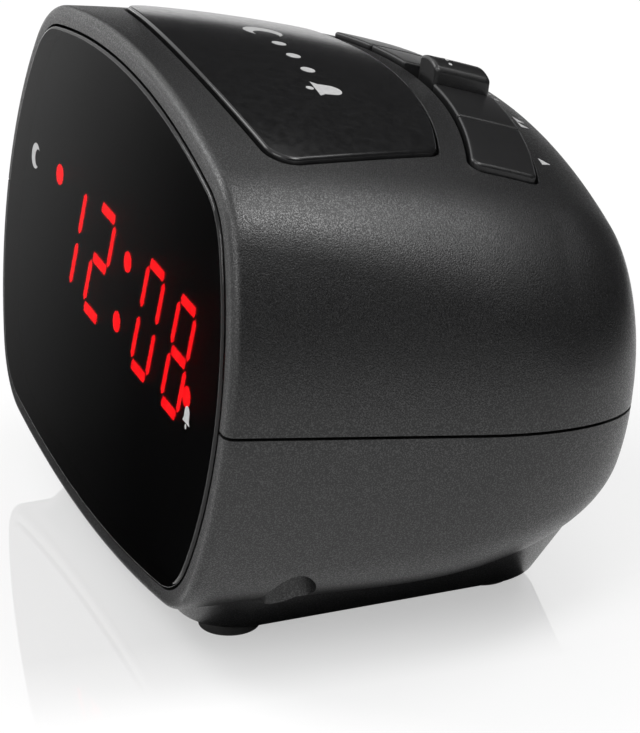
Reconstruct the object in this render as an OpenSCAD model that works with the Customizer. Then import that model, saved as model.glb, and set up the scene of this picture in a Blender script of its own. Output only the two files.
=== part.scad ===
// Bedside alarm clock with a red LED display, a snooze bar and a row of setting buttons.
// Millimetres, +Z up, +Y to the rear, standing on the plane z = 0.
// Most parts are drawn in the body frame: x to the right, y rearward along the body axis from the
// rim's front face, z up the face from the seam. in_body() leans that frame back on the base.

/* [Window] */
// Width of the front window
window_w = 89; // [86:0.5:92]
// Height of the window above the seam
window_above = 30; // [28.5:0.5:31.5]
// Height of the window below the seam
window_below = 28; // [26.5:0.5:29]
// Radius of the window's bowed sides
window_side_r = 42; // [41:0.5:48]
// Radius of the window's top edge
window_top_r = 136; // [125:1:160]
// Radius of the window's bottom edge
window_bottom_r = 212; // [190:2:240]
// Radius of the window's corners
window_corner_r = 11; // [10:0.5:12.5]
// Thickness of the window lens
lens_t = 1.8; // [1.5:0.1:1.9]
// How far the lens stands proud of the rim
lens_proud = 0.4; // [0.2:0.1:0.7]
// Width of the bevel round the lens
lens_bevel = 0.4; // [0.2:0.1:0.7]
// Width of the rim round the window
rim_w = 2.75; // [2.6:0.05:3.2]
// Radius of the rim's front edge
rim_round = 1.3; // [0.8:0.1:1.5]
// Open groove between rim and lens
lens_groove = 0.3; // [0.2:0.05:0.4]

/* [Body] */
// Backward lean of the body in degrees
lean = 7.2; // [6:0.1:8]
// Depth of the body along its axis
body_depth = 57.4; // [56:0.2:60]
// Radius of the roof's profile from front to rear
roof_r = 208; // [190:2:240]
// Growth of the shoulder radius per millimetre of depth
shoulder_gain = 0.19; // [0.16:0.01:0.2]
// Rise of the belly per millimetre of depth
belly_rise = 0.107; // [0.09:0.001:0.12]
// Wall thickness of the housings
wall = 1.6; // [1.4:0.05:1.75]
// Shadow gap at the seam
seam_gap = 0.4; // [0.3:0.05:0.5]
// Width of the flat rear end
rear_w = 69; // [66:0.5:72]
// Height of the rear end above the seam
rear_above = 16.5; // [15.5:0.25:18]
// Height of the rear end below the seam
rear_below = 11.5; // [10.5:0.25:13]
// Depth over which the sides turn in to the rear end
side_turn = 24; // [20:0.5:26]
// Depth over which the roof turns down to the rear end
roof_turn = 11; // [9:0.5:12]
// Depth over which the belly turns up to the rear end
belly_turn = 32; // [28:0.5:34]

/* [Base] */
// Height of the front end of the seam above the table
seam_height = 35; // [34.5:0.1:36]
// Height of the feet
foot_h = 1; // [0.6:0.1:1.4]
// Diameter of the feet
foot_d = 7.8; // [6.5:0.1:8.5]
// Width of the base near the front
base_w = 60; // [58:0.5:63]
// Width of the base near the rear
base_rear_w = 56; // [53:0.5:58]
// Depth of the base
base_d = 47; // [46:0.5:48]
// Distance from the rim's front, at seam height, to the base
base_set_back = 2; // [1.5:0.1:2.5]
// Corner radius of the base
base_corner_r = 7; // [5:0.5:8]
// Spread of the skirt's sides per millimetre of height
skirt_side_spread = 1; // [0.95:0.01:1.05]
// Diameter of the screw wells
well_d = 6.6; // [6.2:0.1:7]

/* [Snooze bar] */
// Width of the bar near the front
snooze_front_w = 61.8; // [60:0.2:63]
// Width of the bar near the rear
snooze_rear_w = 48.6; // [45:0.2:50]
// Depth of the bar along its middle
snooze_d = 30; // [28.5:0.25:30.5]
// Distance from the rim's front to the bar
snooze_set_back = 5.6; // [5:0.1:6.5]
// Radius of the bar's front edge
snooze_front_r = 170; // [150:2:200]
// Height of the bar's crown above the roof
snooze_proud = 0.6; // [0.4:0.05:0.8]
// Travel of the bar
snooze_travel = 1; // [0.6:0.1:1.1]

/* [Controls] */
// Radius of the bar's rear edge, which the control strip follows
control_arc_r = 80; // [76:1:90]
// Roof between the bar and the control strip
control_gap = 4.3; // [4:0.1:4.6]
// Depth of the control strip
control_d = 8.6; // [8.2:0.1:8.8]
// Width of the alarm-set button
alarm_button_w = 9; // [8:0.1:9.6]
// Width of the time-set button
time_button_w = 9; // [8.4:0.1:9.6]
// Width of the switch bay
switch_bay_w = 9.1; // [8.9:0.1:9.6]
// Width of the hour button
hour_button_w = 11.7; // [10:0.1:12.2]
// Width of the minute button
minute_button_w = 14.2; // [13:0.1:14.6]
// Travel of the buttons
button_travel = 0.8; // [0.5:0.05:1]
// Width of the switch knob
knob_w = 5.6; // [5.2:0.1:5.8]
// Height of the switch knob above the roof
knob_proud = 3.4; // [2.4:0.1:3.8]
// Travel of the switch knob
knob_travel = 2.5; // [2:0.1:2.6]
// Gap round every control
control_play = 0.35; // [0.3:0.01:0.4]

/* [Display] */
// Height of a digit
digit_h = 15.24; // [14:0.1:16]
// Width of a digit
digit_w = 6.9; // [6.4:0.1:7.4]
// Slant of the digits in degrees
digit_slant = 11; // [8:0.5:12]
// Distance between neighbouring digits
digit_pitch = 12.6; // [12:0.1:12.8]
// Width of a segment
segment_w = 1.7; // [1.4:0.05:1.9]
// Diameter of the dots
dot_d = 3.2; // [2.6:0.1:3.4]
// Height of the digits' middle above the seam
digit_level = 1; // [0:0.1:2]

/* [Hidden] */
// How far cutters run past a face, and how far joined pieces sink into each other
over = 1;
sink = 0.4;

// Shape of the body
half_w = window_w/2 + rim_w;
roof_top = window_above + rim_w;
belly_low = window_below + rim_w;
side_r = window_side_r + rim_w;
shoulder_limit = 0.8;
roof_turn_power = 2.8;
plain_turn_power = 2;
side_steps = 5;
corner_steps = 7;
edge_steps = 6;
skin_steps = 14;
cavity_steps = 11;
round_steps = 4;
lip_t = 1.6;
lip_inset = rim_w - lens_groove;
flange_play = 0.4;
flange_d = 1;
seam_half = seam_gap/2;
tongue_w = 0.9;
tongue_h = 2;
tongue_start = lip_t + flange_d + 1;
tongue_play = 0.2;

// Place of the body on the base
y_front = -lens_proud*cos(lean) - (window_below - lens_bevel)*sin(lean);
y_rear = body_depth*cos(lean) + rear_above*sin(lean);
y_shift = -(y_front + y_rear)/2;

// Base
base_floor_t = 1.8;
base_edge = 1.2;
skirt_front_spread = 0.72;
skirt_rear_spread = 0.35;
skirt_corner_gain = 0.6;
skirt_top = 12;
skirt_start = rim_w;
skirt_corner_steps = 7;
skirt_wall = 1.5*wall;
foot_sink = 0.6;
foot_play = 0.05;
foot_front = [25.5, 7.4];
foot_rear = [22, 42.5];
foot_places = [foot_front, [-foot_front.x, foot_front.y], foot_rear, [-foot_rear.x, foot_rear.y]];
cord_hole_r = 1.9;
cord_hole_at = [-20, -4];

// Screws
well_r = well_d/2;
well_wall = 1.3;
well_top = -10;
screw_r = 1.35;
screw_l = 18;
screw_head_r = 2.6;
screw_head_h = 1.8;
screw_play = 0.05;
screw_hole_r = 1.65;
post_r = 2.6;
post_draft = 0.3;
front_screw = [39.2, 13.7];
rear_screw_y = 52.9;
case_places = [front_screw, [-front_screw.x, front_screw.y], [0, rear_screw_y]];

// Controls
arc_centre = snooze_set_back + snooze_d - control_arc_r;
strip_r1 = control_arc_r + control_gap;
strip_r2 = strip_r1 + control_d;
strip_w = alarm_button_w + time_button_w + switch_bay_w + hour_button_w + minute_button_w;
alarm_x = -strip_w/2;
time_x = alarm_x + alarm_button_w;
bay_x = time_x + time_button_w;
hour_x = bay_x + switch_bay_w;
minute_x = hour_x + hour_button_w;
snooze_bow = 0.8;
snooze_corner = 3.4;
cap_edge = 0.45;
button_proud = 0.8;
key_flange = 1;
key_flange_t = 1.1;
key_seat = 0.25;
key_join = 0.2;
press_play = 0.3;
stem_r = 1.6;
knob_x = hour_x - control_play - knob_w;
knob_mid = knob_x + knob_w/2;
knob_dip = 0.7;
knob_drop = 0.3;

// Boards
board_t = 1.6;
control_board_w = 69;
control_board_y0 = 15;
control_board_y1 = 47.5;
control_board_z = 16.4;
board_top = control_board_z + board_t;
board_screw_r = 1;
board_screw_l = 6.5;
board_screw_head_r = 2;
board_screw_head_h = 1.3;
board_hole_r = 1.15;
board_post_r = 2.4;
board_post_front = [32.5, 24];
board_post_rear = [31, 43];
board_posts = [board_post_front, [-board_post_front.x, board_post_front.y],
               board_post_rear, [-board_post_rear.x, board_post_rear.y]];
tact_w = 6;
tact_h = 3.5;
tact_plunger_r = 1.7;
tact_plunger_h = 0.9;
tact_top = board_top + tact_h + tact_plunger_h;
snooze_stem_y = 21;
switch_l = 9.4;
switch_w = 4.4;
switch_h = 3.4;
switch_slot_d = 1.5;
lever_w = 1.6;
lever_play = 0.3;
main_board_w = 68;
main_board_low = -22;
main_board_high = 14;
rail_x = 24;
rail_w = 5;
rail_wall = 2;
rail_top = -14;
rail_play = 0.08;
stop_w = 24;
stop_t = 1.4;
stop_set_back = 0.95;

// Display
module_w = 71;
module_h = 25;
module_d = 7;
module_gap = 0.45;
module_y = lens_t - lens_proud + module_gap;
segment_proud = 0.05;
segment_depth = 1.2;
segment_gap = 0.2;
segment_play = 0.03;
main_board_y = module_y + module_d;
parts_y = main_board_y + board_t;
colon_at = [-0.4, digit_level];
colon_half = 4.35;
left_dot = [-30, 6.4];
right_dot = [27.5, -2.3];
digit_places = [-1.82, -0.82, 0.82, 1.82];
lit = [[0, 0, 1, 0, 0, 1, 0], [1, 0, 1, 1, 1, 0, 1], [1, 1, 1, 0, 1, 1, 1], [1, 1, 1, 1, 1, 1, 1]];

// Parts on the main board
chip_l = 36;
chip_w = 13.6;
chip_t = 3.6;
chip_lift = 0.6;
chip_notch_r = 1.5;
chip_notch_d = 0.5;
chip_level = 3;
pin_pitch = 2.54;
pins_a_side = 14;
pin_w = 0.5;
cap_big = [4, 9.5];
cap_small = [3.15, 7.5];
cap_chip_gap = 5;
cap_gap = 2.35;
cap_big_level = -9.5;
cap_small_level = -14;
cap_big_at = [-(chip_l/2 + cap_chip_gap + cap_big.x), cap_big_level];
cap_small_at = [cap_big_at.x + cap_big.x + cap_gap + cap_small.x, cap_small_level];
diode_r = 1.35;
diode_l = 5;
diode_lead_r = 0.35;
diode_span = 9;
diode_lift = 0.3;
diode_at = [4, -11];
diode_pitch = 2.8;
sounder_r = 7.4;
sounder_h = 4.5;
sounder_hole_r = 1;
sounder_hole_d = 1.2;
sounder_chip_gap = 0.6;
sounder_level = -6;
sounder_at = [chip_l/2 + sounder_chip_gap + sounder_r, sounder_level];
ribbon_w = 14;
ribbon_t = 0.8;
ribbon_z = 12;
ribbon_y = 20;
ribbon_bend = 1.6;

// Transformer, cell and door on the base floor
core_w = 24;
core_h = 20;
core_t = 10;
core_leg = 4;
core_window = [4, 12];
coil_d = 20;
coil_play = 0.15;
transformer_at = [-13.6, 32];
stand_h = 2.4;
stand_w = 3;
cell_r = 10;
cell_t = 3.2;
door_at = [14.5, 22];
door_r = 11.8;
door_flange_t = 0.9;
door_hub_r = 10.6;
door_play = 0.1;
lug_r = 12.3;
lug_t = 0.9;
lug_angle = 36;
lug_turn = 70;
lug_lift = 0.25;
lug_slack = 6;
coin_slot_w = 1.8;
coin_slot_l = 14;
coin_slot_d = 0.5;
cup_r = 12.6;
cup_wall = 1;
cup_h = 7;
contact_w = 5;
contact_t = 0.4;

$fn = 48;

// Lists
function tail(list) = [for (i = [1:len(list) - 1]) list[i]];
function flip(list) = [for (i = [len(list) - 1:-1:0]) list[i]];
function join(lists) = [for (part = lists) for (item = part) item];
function clamp(v, low, high) = max(low, min(high, v));

// Points on an arc and the meeting point of two circles, on the side of +x
function arc(c, r, a0, a1, n) = [for (i = [0:n]) let (a = a0 + (a1 - a0)*i/n) c + r*[cos(a), sin(a)]];
function meet(c1, r1, c2, r2) =
    let (d = c2 - c1, l = norm(d), u = d/l, m = (l*l + r1*r1 - r2*r2)/(2*l), h = sqrt(r1*r1 - m*m))
    c1 + m*u + h*[-u.y, u.x];
function heading(v) = atan2(v.y, v.x);

// One quarter of an outline of tangent arcs, from the side at height z0 up to the middle of the top
function quarter(a, h, rs, rh, rc, z0) =
    let (cs = [a - rs, 0], ch = [0, h - rh], k = meet(cs, rs - rc, ch, rh - rc),
         a0 = asin(z0/rs), a1 = heading(k - cs), a2 = heading(k - ch))
    join([arc(cs, rs, a0, a1, side_steps), tail(arc(k, rc, a1, a2, corner_steps)),
          tail(arc(ch, rh, a2, 90, edge_steps))]);

// Rails of the body: heights of roof and belly, and how the walls turn in at the rear end
function roof_at(y) = roof_top - roof_r + sqrt(roof_r*roof_r - y*y);
function belly_at(y) = belly_low - belly_rise*y;
function turn(y, e, depth, end, full, power) =
    let (keep = (end - e)/(full - e), u = clamp((y - body_depth + depth)/(depth - e), 0, 1))
    keep + (1 - keep)*pow(1 - pow(u, power), 1/power);
function side_scale(y, e) = turn(y, e, side_turn, rear_w/2, half_w, plain_turn_power);
function roof_scale(y, e) = turn(y, e, roof_turn, rear_above, roof_at(body_depth), roof_turn_power);
function belly_scale(y, e) = turn(y, e, belly_turn, rear_below, belly_at(body_depth), plain_turn_power);

// Half a section of the body at depth y, inset by e, from the right seam edge over to the left one
function half_ring(y, e, up) =
    let (h = up ? roof_at(y) : belly_at(y),
         rh = (up ? window_top_r : window_bottom_r) + rim_w,
         r0 = window_corner_r + rim_w,
         rc = up ? min(r0 + shoulder_gain*y, shoulder_limit*h) : r0,
         q = quarter(half_w - e, h - e, side_r - e, rh - e, rc - e, seam_half),
         kx = side_scale(y, e), kz = up ? roof_scale(y, e) : belly_scale(y, e), side = up ? 1 : -1,
         right = [for (p = q) [p.x*kx, y, side*(seam_half + (p.y - seam_half)*kz)]],
         left = [for (p = flip(right)) [-p.x, p.y, p.z]])
    join([right, tail(left)]);
function ring(y, e) = join([half_ring(y, e, true), flip(half_ring(y, e, false))]);

// Height of the roof's skin over a point of the plan
function roof_skin(x, y) =
    let (r = window_top_r + rim_w, across = x/side_scale(y, 0))
    seam_half + (roof_at(y) - r + sqrt(r*r - across*across) - seam_half)*roof_scale(y, 0);

// Plan of the snooze bar: u runs across, v from front to rear
function snooze_end(v) =
    let (c = snooze_corner/snooze_d, m = min(v, 1 - v))
    m < c ? snooze_corner*(1 - sqrt(1 - pow(1 - m/c, 2))) : 0;
function snooze_half(v) =
    snooze_front_w/2 + (snooze_rear_w - snooze_front_w)/2*v + 4*snooze_bow*v*(1 - v) - snooze_end(v);
function snooze_y(x, v, grow) =
    let (front = snooze_set_back + snooze_front_r - sqrt(snooze_front_r*snooze_front_r - x*x) - grow,
         rear = arc_centre + sqrt(control_arc_r*control_arc_r - x*x) + grow)
    front + (rear - front)*v;
function snooze_point(u, v, grow) = let (x = u*(snooze_half(v) + grow)) [x, snooze_y(x, v, grow)];

// Plan of a control in the arched strip, from x0 to x1
function strip_point(x0, x1, u, v, gx, gy) =
    let (x = x0 - gx + (x1 - x0 + 2*gx)*u, r1 = strip_r1 - gy, r2 = strip_r2 + gy,
         front = arc_centre + sqrt(r1*r1 - x*x), rear = arc_centre + sqrt(r2*r2 - x*x))
    [x, front + (rear - front)*v];
function strip_mid(x) = let (r = (strip_r1 + strip_r2)/2) arc_centre + sqrt(r*r - x*x);

// Solid through rings of equal length
module loft(rings, reverse = false) {
    n = len(rings[0]);
    last = len(rings) - 1;
    sides = [for (j = [0:last - 1]) for (i = [0:n - 1])
        let (a = j*n + i, b = j*n + (i + 1) % n, c = a + n, d = b + n) each [[a, b, d], [a, d, c]]];
    ends = [[for (i = [n - 1:-1:0]) i], [for (i = [0:n - 1]) last*n + i]];
    faces = join([sides, ends]);
    polyhedron(points = join(rings), faces = reverse ? [for (f = faces) flip(f)] : faces, convexity = 8);
}

// Solid through half rings that are open along the seam, where they close in one flat face
module open_loft(rings, reverse) {
    n = len(rings[0]);
    last = len(rings) - 1;
    sides = [for (j = [0:last - 1]) for (i = [0:n - 2])
        let (a = j*n + i, b = a + 1, c = a + n, d = b + n) each [[a, b, d], [a, d, c]]];
    ends = [[for (i = [n - 1:-1:0]) i], [for (i = [0:n - 1]) last*n + i]];
    seam = [join([[for (j = [0:last]) j*n], [for (j = [last:-1:0]) j*n + n - 1]])];
    faces = join([sides, ends, seam]);
    polyhedron(points = join(rings), faces = reverse ? [for (f = faces) flip(f)] : faces, convexity = 8);
}

// Slab over a grid of the plan: rows of [x, y, top, bottom]
module slab(rows) {
    m = len(rows);
    n = len(rows[0]);
    all = join(rows);
    points = join([[for (p = all) [p[0], p[1], p[2]]], [for (p = all) [p[0], p[1], p[3]]]]);
    low = m*n;
    skin = [for (j = [0:m - 2]) for (i = [0:n - 2])
        let (a = j*n + i, b = a + 1, c = a + n, d = b + n)
        each [[a, c, d], [a, d, b], [low + a, low + d, low + c], [low + a, low + b, low + d]]];
    edge = join([[for (i = [0:n - 2]) i], [for (j = [0:m - 2]) j*n + n - 1],
                 [for (i = [n - 1:-1:1]) (m - 1)*n + i], [for (j = [m - 1:-1:1]) j*n]]);
    k = len(edge);
    rim = [for (i = [0:k - 1])
        let (a = edge[i], b = edge[(i + 1) % k]) each [[a, b, low + b], [a, low + b, low + a]]];
    polyhedron(points = points, faces = join([skin, rim]), convexity = 6);
}

module in_body() {
    translate([0, y_shift, seam_height]) rotate([-lean, 0, 0]) children();
}

module on_base() {
    translate([0, y_shift, foot_h]) children();
}

// Outline drawn as [x, z] points, thick from y0 to y1
module plate(points, y0, y1) {
    translate([0, y1, 0]) rotate([90, 0, 0]) linear_extrude(y1 - y0) polygon(points);
}

module box(low, high) {
    translate(low) cube(high - low);
}

module tube_along_y(x, z, r, y0, y1) {
    translate([x, y0, z]) rotate([-90, 0, 0]) cylinder(r = r, h = y1 - y0);
}

module mirrored() {
    children();
    mirror([1, 0, 0]) children();
}

// Housing halves
module half_shell(up) {
    skin = [for (i = [skin_steps:-1:1])
        half_ring(rim_round + (body_depth - rim_round)*sin(90*i/skin_steps), 0, up)];
    rim = [for (i = [0:round_steps])
        let (a = 90*i/round_steps) half_ring(rim_round*(1 - sin(a)), rim_round*(1 - cos(a)), up)];
    lip = [half_ring(0, lip_inset, up), half_ring(lip_t, lip_inset, up), half_ring(lip_t, wall, up)];
    cavity = [for (i = [1:cavity_steps])
        half_ring(lip_t + (body_depth - wall - lip_t)*sin(90*i/cavity_steps), wall, up)];
    open_loft(join([skin, rim, lip, cavity]), up);
}

// Body down to the middle of its wall, which trims what stands inside
module core() {
    e = wall/2;
    loft([for (i = [0:skin_steps]) ring(rim_round + (body_depth - e - rim_round)*sin(90*i/skin_steps), e)]);
}

// Tongue of the lower half that closes the seam from inside
function seam_edge(e) = [for (i = [0:cavity_steps])
    let (s = sin(90*i/cavity_steps), y = tongue_start + (body_depth - wall - tongue_start)*s)
    [(half_w - wall)*side_scale(y, wall) - e, y - e*s]];
module tongue_band(e0, e1, z0, z1) {
    outer = seam_edge(e0);
    inner = seam_edge(e1);
    mirrored_outer = [for (p = flip(outer)) [-p.x, p.y]];
    mirrored_inner = [for (p = inner) [-p.x, p.y]];
    translate([0, 0, z0]) linear_extrude(z1 - z0)
        polygon(join([outer, mirrored_outer, mirrored_inner, flip(inner)]));
}

module tongue() {
    tongue_band(-wall/3, tongue_w, -tongue_h, -seam_half);
    difference() {
        tongue_band(tongue_play, tongue_w, -seam_half - sink, tongue_h);
        for (p = case_places) translate([p.x, p.y, -seam_half])
            cylinder(r = post_r + post_draft + tongue_play, h = tongue_h + over);
    }
}

// Moulded post that widens a little towards its root
module post(place, r, z0, z1) {
    translate([place.x, place.y, 0]) hull() {
        translate([0, 0, z0]) cylinder(r = r, h = over);
        translate([0, 0, z1]) cylinder(r = r + post_draft, h = over);
    }
}

module snooze_opening() {
    n = 16;
    g = control_play;
    front = [for (i = [0:n]) snooze_point(-1 + 2*i/n, 0, g)];
    right = [for (i = [1:n - 1]) snooze_point(1, (1 - cos(180*i/n))/2, g)];
    translate([0, 0, board_top]) linear_extrude(roof_top)
        polygon(join([front, right, [for (i = [n:-1:0]) snooze_point(-1 + 2*i/n, 1, g)],
                      [for (p = flip(right)) [-p.x, p.y]]]));
}

module strip_opening() {
    n = 20;
    x0 = -strip_w/2;
    g = control_play;
    translate([0, 0, board_top]) linear_extrude(roof_top)
        polygon(join([[for (i = [0:n]) strip_point(x0, -x0, i/n, 0, g/2, g)],
                      [for (i = [n:-1:0]) strip_point(x0, -x0, i/n, 1, g/2, g)]]));
}

module upper_housing() {
    color([0.2, 0.2, 0.21]) in_body() difference() {
        union() {
            half_shell(true);
            intersection() {
                core();
                union() {
                    for (p = case_places) post(p, post_r, seam_half, roof_top);
                    for (p = board_posts) post(p, board_post_r, board_top, roof_top);
                    board_stop();
                }
            }
        }
        snooze_opening();
        strip_opening();
        for (p = case_places) translate([p.x, p.y, 0])
            cylinder(r = screw_r + screw_play, h = screw_l + well_top + over);
        for (p = board_posts) translate([p.x, p.y, 0])
            cylinder(r = board_screw_r + screw_play, h = control_board_z + board_screw_l + over/2);
    }
}

// Rib that steadies the top of the display block from the roof
module board_stop() {
    y0 = module_y + stop_set_back;
    low = digit_level + module_h/2;
    hull() {
        box([-stop_w/2, y0, low], [stop_w/2, y0 + stop_t, low + over]);
        box([-stop_w/2 - post_draft, y0, roof_top], [stop_w/2 + post_draft, y0 + stop_t, roof_top + over]);
    }
}

// Plan outline of the skirt at height h above its bottom, inset by e
function skirt_ring(h, e) =
    let (wf = base_w/2 + skirt_side_spread*h - e, wr = base_rear_w/2 + skirt_side_spread*h - e,
         yf = base_set_back - skirt_front_spread*h + e,
         yr = base_set_back + base_d + skirt_rear_spread*h - e,
         r = base_corner_r + skirt_corner_gain*h - e/2, n = skirt_corner_steps,
         right = join([arc([wf - r, yf + r], r, -90, 0, n), arc([wr - r, yr - r], r, 0, 90, n)]),
         left = [for (p = flip(right)) [-p.x, p.y]])
    [for (p = join([right, left])) [p.x, p.y, h]];

module skirt() {
    edge = [for (i = [0:round_steps])
        let (a = 90*i/round_steps) skirt_ring(base_edge*(1 - cos(a)), base_edge*(1 - sin(a)))];
    intersection() {
        on_base() loft(join([edge, [skirt_ring(skirt_top, 0)]]), true);
        in_body() box([-half_w, skirt_start, -2*half_w], [half_w, body_depth, 0]);
    }
}

module skirt_hollow() {
    on_base() loft([skirt_ring(base_floor_t, skirt_wall), skirt_ring(skirt_top, skirt_wall)], true);
}

// Guide that holds the main board's lower edge
module board_rail() {
    slot0 = main_board_y - rail_play;
    slot1 = parts_y + rail_play;
    low = foot_h + base_floor_t - seam_height;
    difference() {
        hull() {
            box([rail_x - rail_w/2, slot0 - rail_wall, rail_top - over],
                [rail_x + rail_w/2, slot1 + rail_wall, rail_top]);
            box([rail_x - rail_w/2 - post_draft, slot0 - rail_wall - post_draft, low],
                [rail_x + rail_w/2 + post_draft, slot1 + rail_wall + post_draft, low + over]);
        }
        box([rail_x - rail_w, slot0, main_board_low], [rail_x + rail_w, slot1, 0]);
    }
}

// Tube round a screw well, with the screw's seat at its top
module well_tube(p) {
    hull() {
        translate([p.x, p.y, -2*half_w]) cylinder(r = well_r + well_wall + post_draft, h = over);
        translate([p.x, p.y, -seam_half - over]) cylinder(r = well_r + well_wall, h = over);
    }
}

module transformer_stand() {
    w = stand_w/2;
    d = core_t/2;
    z0 = base_floor_t - sink;
    z1 = base_floor_t + stand_h;
    for (side = [-1, 1]) translate([transformer_at.x + side*(core_w/2 - w), transformer_at.y, 0]) hull() {
        box([-w, -d, z1 - sink], [w, d, z1]);
        box([-w - post_draft, -d - post_draft, z0], [w + post_draft, d + post_draft, base_floor_t]);
    }
}

module door_hole() {
    h = base_floor_t + 2*over;
    translate([door_at.x, door_at.y, -over]) {
        cylinder(r = door_r + door_play, h = over + door_flange_t);
        cylinder(r = door_hub_r + door_play, h = h);
        for (a = [0, 180]) rotate([0, 0, a + lug_turn - lug_slack/2])
            rotate_extrude(angle = lug_angle + lug_slack) square([lug_r + door_play, h]);
    }
}

// Round cup over the cell, standing on the base floor
module cell_cup() {
    translate([door_at.x, door_at.y, base_floor_t - sink]) difference() {
        hull() {
            cylinder(r = cup_r + cup_wall + post_draft, h = over);
            cylinder(r = cup_r + cup_wall, h = cup_h + cup_wall);
        }
        translate([0, 0, -over]) cylinder(r = cup_r, h = cup_h + over);
    }
}

module lower_housing() {
    color([0.17, 0.17, 0.18]) difference() {
        union() {
            difference() {
                union() {
                    in_body() half_shell(false);
                    difference() {
                        skirt();
                        in_body() core();
                    }
                }
                skirt_hollow();
            }
            in_body() {
                tongue();
                mirrored() board_rail();
            }
            intersection() {
                in_body() for (p = case_places) well_tube(p);
                union() {
                    in_body() core();
                    skirt();
                }
            }
            on_base() {
                cell_cup();
                transformer_stand();
            }
        }
        in_body() {
            for (p = case_places) translate([p.x, p.y, 0]) {
                translate([0, 0, -2*half_w]) cylinder(r = well_r, h = 2*half_w + well_top);
                translate([0, 0, well_top - over]) cylinder(r = screw_hole_r, h = 2*over - well_top);
            }
            tube_along_y(cord_hole_at.x, cord_hole_at.y, cord_hole_r, body_depth - 3*wall, body_depth + wall);
        }
        on_base() {
            door_hole();
            for (p = foot_places) translate([p.x, p.y, -over])
                cylinder(r = foot_d/2 + foot_play, h = over + foot_sink);
        }
    }
}

// Window
function lens_ring(y, e) = [for (p = ring(0, e)) [p.x, y, p.z]];
module front_lens() {
    flange_e = wall + flange_play;
    well_e = rim_w + flange_d;
    color([0.03, 0.03, 0.035]) in_body()
        loft([lens_ring(-lens_proud, rim_w + lens_bevel), lens_ring(lens_bevel - lens_proud, rim_w),
              lens_ring(lip_t, rim_w), lens_ring(lip_t, flange_e), lens_ring(lip_t + flange_d, flange_e),
              lens_ring(lip_t + flange_d, well_e), lens_ring(lens_t - lens_proud, well_e)]);
}

// Display: bars between two points, shortened by a gap at each end
function bar(a, b, w, gap) =
    let (d = (b - a)/norm(b - a), n = [-d.y, d.x]*w/2, p = a + d*gap, q = b - d*gap, h = d*w/2)
    [p, p + h - n, q - h - n, q, q - h + n, p + h + n];
function digit_bars(w, gap) =
    let (x = (digit_w - segment_w)/2, z = (digit_h - segment_w)/2)
    [bar([-x, z], [x, z], w, gap), bar([-x, 0], [-x, z], w, gap), bar([x, 0], [x, z], w, gap),
     bar([-x, 0], [x, 0], w, gap), bar([-x, -z], [-x, 0], w, gap), bar([x, -z], [x, 0], w, gap),
     bar([-x, -z], [x, -z], w, gap)];
function slant(p) = [p.x + p.y*tan(digit_slant), p.y];
function digit_points(k, i, play) =
    let (place = [digit_places[k]*digit_pitch, digit_level])
    [for (p = digit_bars(segment_w - 2*play, segment_gap + play)[i]) slant(p) + place];
dot_places = [colon_at + slant([0, colon_half]), colon_at + slant([0, -colon_half]), left_dot, right_dot];

module segments(on, play, y0, y1) {
    for (k = [0:3]) for (i = [0:6]) if (lit[k][i] == on) plate(digit_points(k, i, play), y0, y1);
}

module dots(play, y0, y1) {
    for (p = dot_places) tube_along_y(p.x, p.y, dot_d/2 - play, y0, y1);
}

module display_reflector() {
    color([0.12, 0.12, 0.12]) in_body() difference() {
        box([-module_w/2, module_y, digit_level - module_h/2],
            [module_w/2, main_board_y, digit_level + module_h/2]);
        segments(0, 0, module_y - over, module_y + segment_depth);
        segments(1, 0, module_y - over, module_y + segment_depth);
        dots(0, module_y - over, module_y + segment_depth);
    }
}

module lit_segments() {
    color([0.95, 0.08, 0.08]) in_body() {
        segments(1, segment_play, module_y - segment_proud, module_y + segment_depth);
        dots(segment_play, module_y - segment_proud, module_y + segment_depth);
    }
}

module unlit_segments() {
    color([0.2, 0.1, 0.1]) in_body()
        segments(0, segment_play, module_y - segment_proud, module_y + segment_depth);
}

// Boards
module main_board() {
    color([0.15, 0.35, 0.2]) in_body()
        box([-main_board_w/2, main_board_y, main_board_low], [main_board_w/2, parts_y, main_board_high]);
}

module clock_chip() {
    y = parts_y + chip_lift;
    color([0.08, 0.08, 0.08]) in_body() {
        difference() {
            box([-chip_l/2, y, chip_level - chip_w/2], [chip_l/2, y + chip_t, chip_level + chip_w/2]);
            tube_along_y(-chip_l/2, chip_level, chip_notch_r, y + chip_t - chip_notch_d, y + chip_t + over);
        }
        for (i = [0:pins_a_side - 1]) for (side = [-1, 1])
            translate([(i - (pins_a_side - 1)/2)*pin_pitch, parts_y, chip_level + side*(chip_w + pin_w)/2])
                box([-pin_w/2, 0, -pin_w/2], [pin_w/2, chip_lift + chip_t/2, pin_w/2]);
    }
}

module capacitors() {
    color([0.15, 0.2, 0.35]) in_body() {
        tube_along_y(cap_big_at.x, cap_big_at.y, cap_big.x, parts_y, parts_y + cap_big.y);
        tube_along_y(cap_small_at.x, cap_small_at.y, cap_small.x, parts_y, parts_y + cap_small.y);
    }
}

module diode(x, z) {
    y = parts_y + diode_lift + diode_r;
    translate([x - diode_l/2, y, z]) rotate([0, 90, 0]) cylinder(r = diode_r, h = diode_l);
    translate([x - diode_span/2, y, z]) rotate([0, 90, 0]) cylinder(r = diode_lead_r, h = diode_span);
    for (side = [-1, 1]) tube_along_y(x + side*(diode_span/2 - diode_lead_r), z, diode_lead_r, parts_y, y);
}

module diodes() {
    color([0.12, 0.12, 0.12]) in_body() for (i = [0:3]) diode(diode_at.x, diode_at.y - i*diode_pitch);
}

module sounder() {
    color([0.1, 0.1, 0.1]) in_body() difference() {
        tube_along_y(sounder_at.x, sounder_at.y, sounder_r, parts_y, parts_y + sounder_h);
        tube_along_y(sounder_at.x, sounder_at.y, sounder_hole_r,
                     parts_y + sounder_h - sounder_hole_d, parts_y + sounder_h + over);
    }
}

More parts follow.
